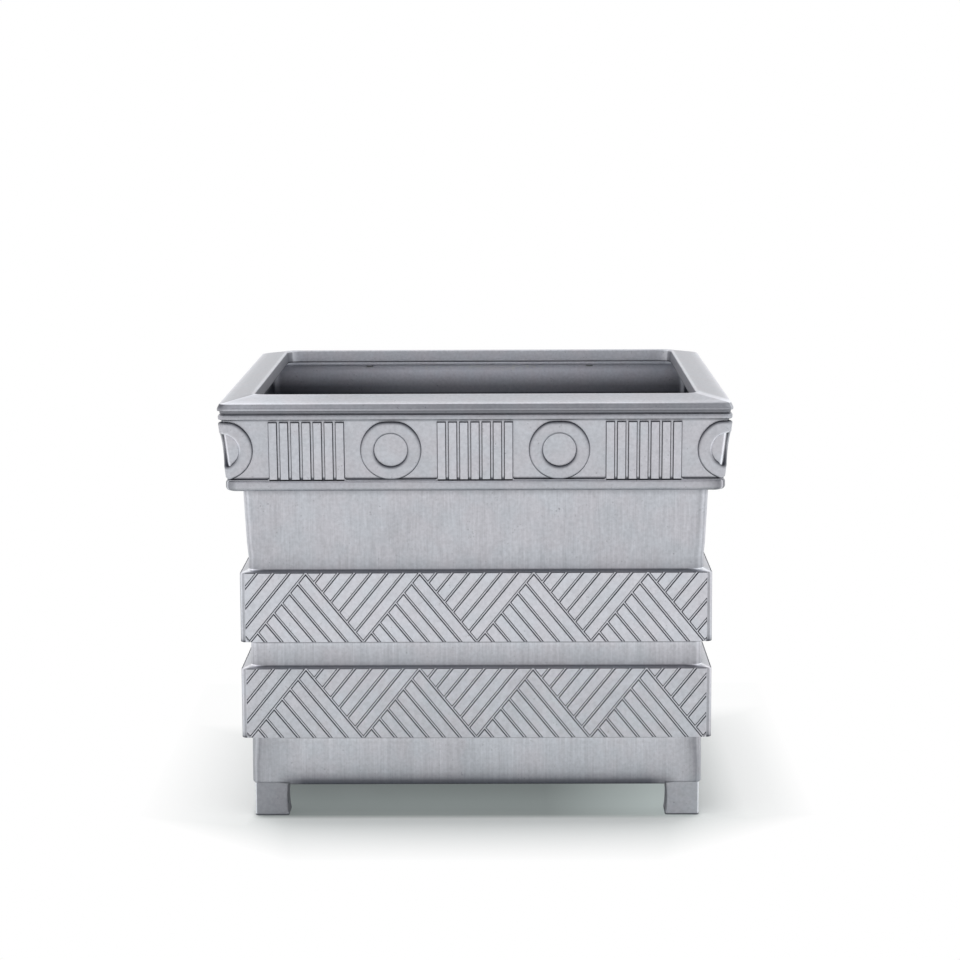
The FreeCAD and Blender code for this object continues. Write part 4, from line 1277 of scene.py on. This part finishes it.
@dataclass
class Rim:
    """The cast coping with its sloping top and moulded edge.

    Args:
        levels: heights of the planter's zones.
        reach: distance of its outer face from the planter's middle.
        mouth: distance of its inner face from there.
    """

    levels: Levels = field(default_factory=Levels)
    reach: float = 250.0 * MM
    mouth: float = 216.7 * MM

    def section(self) -> list[Knee]:
        """Returns the closed section of the coping, outside upwards and inside down; its moulded edge and the
        foot of its lip carry painted shade, its top edge and lip painted highlights.
        """
        level = self.levels
        return [
            *knee_rows(
                (self.reach, level.seat),
                (-10, 0, 0, 4),
                (-3.7, 0, 0.2, 5, 0.8),
                (-3.7, 0.9, 0.3, 5, 0.7),
                (-2.3, 1.3, 0.3, 7.5, 0.68),
                (-2.1, 3.4, 0.3, 7.5, 0.68),
                (0, 3.9, 0.7, 7.5, 0.49),
                (0, 6.2, 4, 7.5, 0.43, 0, 0, 0, 5),
                (-1.6, 9.6, 0.3, 7.5, 0.48, 0, 0, 0, 2),
                (-1.8, 10.1, 0.2, 7.5, 0.48, 0, 0, 0, 2),
                (-2.6, 10.8, 1, 7.5, 0, 1.1),
                (-6, 11.6, 0, 7.5, 0.02),
                (-12, 12.8, 0, 7.5, 0.16),
            ),
            *knee_rows(
                (self.mouth, level.top),
                (7, -0.9, 0, 14, 0.21),
                (3.4, 0, 1.6, 14, 0.18),
                (0, 0, 2.4, 14, 0, 0.25, 0, 0, 7),
            ),
            *knee_rows(
                (self.mouth, level.flange),
                (-0.6, 4, 0, 14, 0, 0.25, 0, 0.1),
                (-0.8, 1.9, 0, 14, 0, 0.25, 0, 0.1),
                (-0.8, 1.3, 0, 14, 0.3, 0, 0, 0.1),
                (-0.8, 0.4, 0.4, 14, 0.6, 0, 0, 0.1),
                (8.3, 0, 0.6, 14, 0, 0, 0, 1),
                (8.3, 4.5, 2, 14, 0, 0, 0, 1),
                (23.3, 4.5, 2, 5, 0, 0, 0, 1),
            ),
        ]

    def build(self, material: bpy.types.Material) -> bpy.types.Object:
        """Builds the coping and lets it stand for its node.

        Args:
            material: the casting's metal.

        Returns:
            The coping's object.
        """
        shape = Shape()
        places, marks = rounded_section(self.section())
        quarter = quarter_sweep(places, 8, 14)[:, :-1]
        grid = np.concatenate([quarter @ turn_matrix(side.value).T for side in Side], axis=1)
        shape.grid(grid[::-1], self.side_marks(places, marks, quarter)[::-1], closed=True)
        self.ribs(shape)
        return settle(shape.build("cast_rim", material), "rim_frame")

    def side_marks(self, places: np.ndarray, marks: np.ndarray, quarter: np.ndarray) -> np.ndarray:
        """Spreads the section's marks round the coping.

        Its mitres get a painted highlight, its flanks a little painted shade. The left end of each side gets
        a painted highlight, by a straight fall of the distance from the mitre, and the moulded edge gets
        painted shade at its right end and round two corners, while each fascia gets painted light towards its
        left.

        Args:
            places: (P, 3) reach, height and plan radius of the section.
            marks: (P, 4) marks of the section.
            quarter: (P, columns, 3) places of the front side.

        Returns:
            (P, 4 * columns, 4) marks.
        """
        cove, slope, face = 416.2 * MM, 417.2 * MM, 247.0 * MM
        edge_shade_run, light_run, ball_run = (80.0 * MM, 0.0), (20.0 * MM, 230.0 * MM), (10.2 * MM, 4.2 * MM)
        long_run, short_run = (100.0 * MM, 0.0), (24.0 * MM, 12.0 * MM)
        columns = quarter.shape[1]
        spread = np.repeat(marks[:, None], 4 * columns, axis=1)
        reach, height = places[:, :1], places[:, 1:2]
        on_top = (height > slope) & (reach > self.mouth + 2.0 * MM)
        on_edge = (height > cove) & (height <= slope) & (reach > self.reach - 6.5 * MM)
        on_fascia = (height > self.levels.seat + 3.5 * MM) & (height <= cove) & (reach > face)
        in_mouth = (reach < self.mouth + 0.3 * MM) & (height < self.levels.top - 1.5 * MM)
        number = np.arange(4 * columns)[None]
        flank = number // columns % 2 == 1
        right = number // columns == 1
        across = np.tile(quarter[..., 0], (1, 4))
        from_left, from_right = reach + across, reach - across

        # painted shade on the flanks' top and mouth and at the edge's right end; painted light on each fascia
        # towards its left
        spread[..., 0] += on_top * np.where(flank, 0.07, -0.03) + in_mouth * np.where(flank, 0.52, 0.05)
        spread[..., 0] += on_edge * np.where(flank, 0.0, 0.45) * ramp(from_right, *edge_shade_run)
        spread[..., 0] -= on_fascia * 0.33 * ramp(-across, *light_run)
        spread[..., 0] = np.clip(spread[..., 0], 0.0, 1.0)

        # painted highlights along the mitres and towards the left end of each side
        from_mitre = np.minimum(number % columns, columns - number % columns)
        sheen = ramp(from_mitre, 2.0, 0.0) + 0.25 * ramp(from_mitre, 12.0, 0.0) * ~flank
        spread[..., 1] += sheen * np.where(on_top, 1.3, np.where(in_mouth, 0.0, 0.5))
        long_shine = 1.7 * ramp(from_left, *long_run)
        short_shine = 3.0 * ramp(from_left, *short_run)
        spread[..., 1] += (on_top | on_edge) * np.where(right, short_shine, np.where(flank, 0.0, long_shine))

        # painted shade on the fascia's ends, where the painted highlights are taken off
        end = ramp(np.where(flank, from_right, from_left), *ball_run) * on_fascia
        low = np.clip((height - self.levels.seat - 4.0 * MM) / (3.5 * MM), 0.6, 1.0)
        spread[..., 0] = np.maximum(spread[..., 0], 0.86 * end * low)
        spread[..., 1] = np.clip(np.clip(spread[..., 1], 0.0, None) * (1.0 - end), 0.0, 3.2)
        return spread

    def ribs(self, shape: Shape) -> None:
        """Adds the two ribs that take screws under each side of the coping.

        Args:
            shape: the mesh to add to.
        """
        half, outer, inner, head, place = 6.0 * MM, -240.4 * MM, -224.6 * MM, 414.5 * MM, 125.0 * MM
        for side in Side:
            turn = turn_matrix(side.value)[:2, :2]
            for x in (-place, place):
                ring = np.array([[x - half, inner], [x - half, outer], [x + half, outer], [x + half, inner]])
                shape.block(ring @ turn.T, self.levels.flange, head)


@dataclass
class Foot:
    """One cast foot block, slightly waisted on its inner faces.

    Args:
        right: whether it stands on the right.
        back: whether it stands at the back.
        side: its width and depth.
        height: its height.
        outer_reach: distance of its outer faces from the planter's middle.
        corner: radius of its upright corners.
        waist: how far its inner faces draw in.
        flare: how far they flare out under the base.
        sole: radius round its sole.
    """

    right: bool
    back: bool
    side: float = 33.5 * MM
    height: float = 34.0 * MM
    outer_reach: float = 221.0 * MM
    corner: float = 2.6 * MM
    waist: float = 1.1 * MM
    flare: float = 1.9 * MM
    sole: float = 1.2 * MM

    def build(self, material: bpy.types.Material) -> bpy.types.Object:
        """Builds the foot and lets it stand for its node.

        The block is a stack of rounded squares: they shrink by a quarter round towards the sole, and the
        inner faces draw in by half a sine wave over the height and flare out under the base by an
        exponential.

        Args:
            material: the casting's metal.

        Returns:
            The foot's object.
        """
        levels = (0, 0.2, 0.6, 1.2, 2.2, 4, 6.5, 9, 13, 17, 21, 25, 28, 30, 31.5, 32.5, 33.3, 34)
        height, flare_run, toe_run = np.array(levels) * MM, 1.5 * MM, 2.0 * MM
        draw = self.sole * (1.0 - np.sqrt(1.0 - ramp(height, self.sole, 0.0) ** 2))
        waist = self.waist * np.sin(np.pi * ramp(height, 0.0, self.height))
        waist = waist - self.flare * np.exp((height - self.height) / flare_run)
        waist = waist - 0.3 * self.flare * np.exp(-height / toe_run)

        arc_points = 6
        turn = np.radians(np.linspace(0.0, 90.0, arc_points)[None] + np.arange(4)[:, None] * 90.0)
        turn = turn.reshape(1, -1)
        low = (draw + waist + self.corner)[:, None] + self.outer_reach - self.side
        high = self.outer_reach - (draw + self.corner)[:, None]
        far_x = np.repeat([True, False, False, True], arc_points)[None]
        far_y = np.repeat([True, True, False, False], arc_points)[None]
        x = np.where(far_x, high, low) + self.corner * np.cos(turn)
        y = np.where(far_y, high, low) + self.corner * np.sin(turn)
        stack = np.stack([x, y, np.broadcast_to(height[:, None], x.shape)], axis=-1)
        stack = stack * np.array([1.0 if self.right else -1.0, 1.0 if self.back else -1.0, 1.0])

        # painted shade: the left foot darker than the right, the top row and most of all the sole; a painted
        # highlight down the outer upright corner
        marks = np.zeros((*x.shape, 4))
        marks[..., 0] = 0.21 if self.right else 0.46
        marks[-1:, :, 0] = 0.5
        marks[:4, :, 0] = 0.85
        marks[4:-1, 1:4, 0] = 0.0
        marks[4:-1, 1:4, 1] = 3.2
        step = 1 if self.right == self.back else -1
        shape = Shape()
        shape.stack(stack[:, ::step], marks[:, ::step])
        word = f"{'back' if self.back else 'front'}_{'right' if self.right else 'left'}"
        return settle(shape.build(f"cast_foot_{word}", material), f"foot_{word}")


def settle(piece: bpy.types.Object, node: str) -> bpy.types.Object:
    """Makes a piece ride on the body and stand for its node.

    Args:
        piece: the finished object.
        node: the CAD node that it stands for.

    Returns:
        The same object.
    """
    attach(piece, "root")
    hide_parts(node)
    return piece


def dress_node(node: str, material: bpy.types.Material) -> bpy.types.Object:
    """Gives a CAD node that stays shown a better material.

    Args:
        node: the node's name.
        material: the new material.

    Returns:
        The node's object.
    """
    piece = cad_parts[node]
    for place in piece.material_slots:
        place.material = material
    return piece


# Camera, floor and light


@dataclass(frozen=True)
class Studio:
    """Camera, floor and lights of the photograph.

    Args:
        focal: focal length in millimetres on a sensor 36 mm wide.
        eye: the camera's place.
        pitch: how far the camera looks down, in degrees.
        yaw: how far it is turned to the left, in degrees.
        roll: how far it is tilted, in degrees.
        floor_front: how far the floor reaches towards the camera, where the card stands.
        floor_side: how far floor and card reach to each side.
        floor_back: how far the floor reaches back.
        card_foot: height of the card's lower edge.
        card_head: height of its upper edge.
    """

    focal: float = 102.772
    eye: tuple[float, float, float] = (0.03066, -2.87696, 0.7273)
    pitch: float = 8.343
    yaw: float = 0.5655
    roll: float = -0.258
    floor_front: float = 5.5
    floor_side: float = 6.0
    floor_back: float = 30.0
    card_foot: float = 1.45
    card_head: float = 5.6

    def camera(self) -> None:
        """Sets up the camera."""
        data = bpy.data.cameras.new("photo_camera")
        data.lens = self.focal
        data.sensor_width = 36.0
        data.clip_end = 200.0
        camera = bpy.data.objects.new("photo_camera", data)
        turns = ((self.yaw, "Z"), (90.0 - self.pitch, "X"), (self.roll, "Z"))
        camera.matrix_world = Matrix.Translation(Vector(self.eye))
        for degrees, axis in turns:
            camera.matrix_world = camera.matrix_world @ Matrix.Rotation(math.radians(degrees), 4, axis)
        bpy.context.scene.collection.objects.link(camera)
        bpy.context.scene.camera = camera

    def sheet(self, name: str, corners: Sequence[Sequence[float]], graph: Graph) -> bpy.types.Object:
        """Builds one flat face that belongs to the studio.

        Args:
            name: the object's name.
            corners: its four corners.
            graph: its material's finished graph.

        Returns:
            The object.
        """
        mesh = bpy.data.meshes.new(name)
        mesh.from_pydata(corners, [], [(0, 1, 2, 3)])
        mesh.materials.append(graph.owner)
        made = bpy.data.objects.new(name, mesh)
        bpy.context.scene.collection.objects.link(made)
        return made

    def floor(self) -> bpy.types.Object:
        """Builds the white floor, which keeps the shadow and fades to plain white away from the planter; a
        painted white glow shapes the shadow's edge, and under the planter the camera sees a painted shadow.

        Returns:
            The floor's object.
        """
        graph = Graph(bpy.data.materials.new("floor_white"))
        place = graph.node("TexCoord").outputs["Object"]
        x, y, _ = graph.node("SeparateXYZ", None, Vector=place).outputs
        side_way = graph.math("ABSOLUTE", x)
        away = graph.math("MAXIMUM", graph.math("MULTIPLY", side_way, 1.14), graph.math("ABSOLUTE", y))
        rays = graph.node("LightPath").outputs
        camera = rays["Is Camera Ray"]

        # plain white where the camera and metal look past the shadow; the spread of this painted white
        # shapes the shadow's edge
        paint = graph.node("BsdfDiffuse", None, Color=(0.74, 0.765, 0.755, 1.0)).outputs[0]
        shown = graph.math("MAXIMUM", graph.spread(away, 0.25, 0.385), self.lit_floor(graph, x, y))
        sent = graph.math("MAXIMUM", rays["Is Glossy Ray"], rays["Is Transmission Ray"])
        past = graph.math("MULTIPLY", sent, graph.spread(away, 0.32, 0.90))
        plain = graph.math("MAXIMUM", graph.math("MULTIPLY", camera, shown), past)
        surface = graph.mix(plain, paint, graph.glow(grey(1.0)))

        # painted shadow under the planter: a dim glow that only the camera sees, its strength set by the
        # place
        beneath = graph.math(
            "MULTIPLY", graph.spread(y, -0.234, -0.219), graph.spread(y, 0.1, 0.2, 1.0, 0.0),
            graph.spread(side_way, 0.212, 0.224, 1.0, 0.0), camera, 0.84,
        )
        dim = graph.math(
            "ADD", graph.spread(y, -0.17, -0.10, 1.14, 0.90), graph.spread(x, 0.07, 0.18),
            graph.spread(x, -0.20, -0.06, -0.10, 0.0),
        )
        dim = graph.math("MULTIPLY", dim, graph.spread(y, -0.225, -0.19, 0.80, 1.0))
        surface = graph.mix(beneath, surface, graph.glow((0.205, 0.230, 0.226, 1.0), dim))
        graph.node("OutputMaterial", None, Surface=surface)
        side, front, back = self.floor_side, -self.floor_front, self.floor_back
        corners = [(-side, front, 0.0), (side, front, 0.0), (side, back, 0.0), (-side, back, 0.0)]
        return self.sheet("floor", corners, graph)

    def lit_floor(self, graph: Graph, x: Socket, y: Socket) -> Socket:
        """Returns the share of painted white beside, behind and at the corners of the planter, which shapes
        the shadow's edge, so that it reaches less far on the left than on the right.

        Args:
            graph: the floor's node graph.
            x: output with the place across.
            y: output with the place in depth.

        Returns:
            The share, 0 to 1.
        """
        away = graph.math("ABSOLUTE", x)
        left = graph.math("MULTIPLY", x, -1.0)
        beside = graph.math(
            "ADD", graph.spread(left, 0.214, 0.228, 0.0, 0.44), graph.spread(left, 0.23, 0.34, 0.0, 0.56),
            graph.spread(x, 0.225, 0.27, 0.0, 0.55), graph.spread(x, 0.27, 0.37, 0.0, 0.45),
        )
        corner = graph.spread(graph.math("SUBTRACT", away, y), 0.44, 0.56)
        behind = graph.math("SUBTRACT", y, graph.spread(x, -0.2, 0.2, 0.0, 0.09))
        behind = graph.spread(behind, 0.0, 0.17, 0.0, 0.93)
        behind = graph.math("MULTIPLY", behind, graph.spread(away, 0.20, 0.22))
        return graph.math("MAXIMUM", beside, corner, behind)

    def card(self) -> bpy.types.Object:
        """Builds the grey card that stands behind the camera and shades the light from there.

        Returns:
            The card's object.
        """
        graph = Graph(bpy.data.materials.new("grey_card"))
        graph.node("OutputMaterial", None, Surface=graph.glow((0.38, 0.38, 0.41, 1.0)))
        side, front, foot, head = self.floor_side, -self.floor_front, self.card_foot, self.card_head
        corners = [(-side, front, foot), (-side, front, head), (side, front, head), (side, front, foot)]
        card = self.sheet("grey_card", corners, graph)
        card.visible_camera = False
        return card

    def world(self) -> None:
        """Sets the light: a white room that is brighter overhead and along the horizon.

        Rays that show the background see plain white: those of the camera and those that metal or glass
        send on.
        """
        graph = Graph(bpy.data.worlds.new("studio_light"))
        ray = graph.node("TexCoord").outputs["Generated"]
        up = graph.node("SeparateXYZ", None, Vector=ray).outputs["Z"]
        high = graph.math("MULTIPLY", graph.spread(up, 0.50, 0.80), graph.spread(up, 0.90, 0.97, 1.0, 0.0))
        low = graph.spread(graph.math("ABSOLUTE", up), 0.04, 0.30, 1.0, 0.0)
        lit = graph.blend(low, graph.blend(high, grey(0.9), grey(1.6)), grey(2.6))
        rays = graph.node("LightPath").outputs
        kinds = ("Is Camera Ray", "Is Glossy Ray", "Is Transmission Ray")
        shown = graph.math("MAXIMUM", *(rays[kind] for kind in kinds))
        back = graph.node("Background", None, Color=graph.blend(shown, lit, grey(1.0)), Strength=1.0)
        graph.node("OutputWorld", None, Surface=back.outputs[0])
        bpy.context.scene.world = graph.owner


def main() -> None:
    """Builds the planter and its studio in order."""
    logging.basicConfig(level=logging.INFO, format="%(name)s: %(message)s")
    bpy.context.scene.view_settings.view_transform = "Standard"
    casting = metal_material("cast_aluminium_satin", CAST)
    zinc = metal_material("zinc_plated_steel", ZINC)
    pieces = [Panel(side).build(casting) for side in Side]
    pieces.append(Rim().build(casting))
    pieces += [Foot(right, back).build(casting) for right in (False, True) for back in (False, True)]
    pieces.append(dress_node("bottom_plate", casting))
    fasteners = (
        "corner_bolts", "corner_washers", "corner_nuts", "foot_bolts", "foot_washers", "rim_screws",
        "bottom_plate_screws",
    )
    pieces += [dress_node(node, zinc) for node in fasteners]
    for piece in pieces:
        LOG.info("%s: %d faces", piece.name, len(piece.data.polygons))
    studio = Studio()
    studio.camera()
    studio.floor()
    studio.card()
    studio.world()


if __name__ == "__main__":
    main()
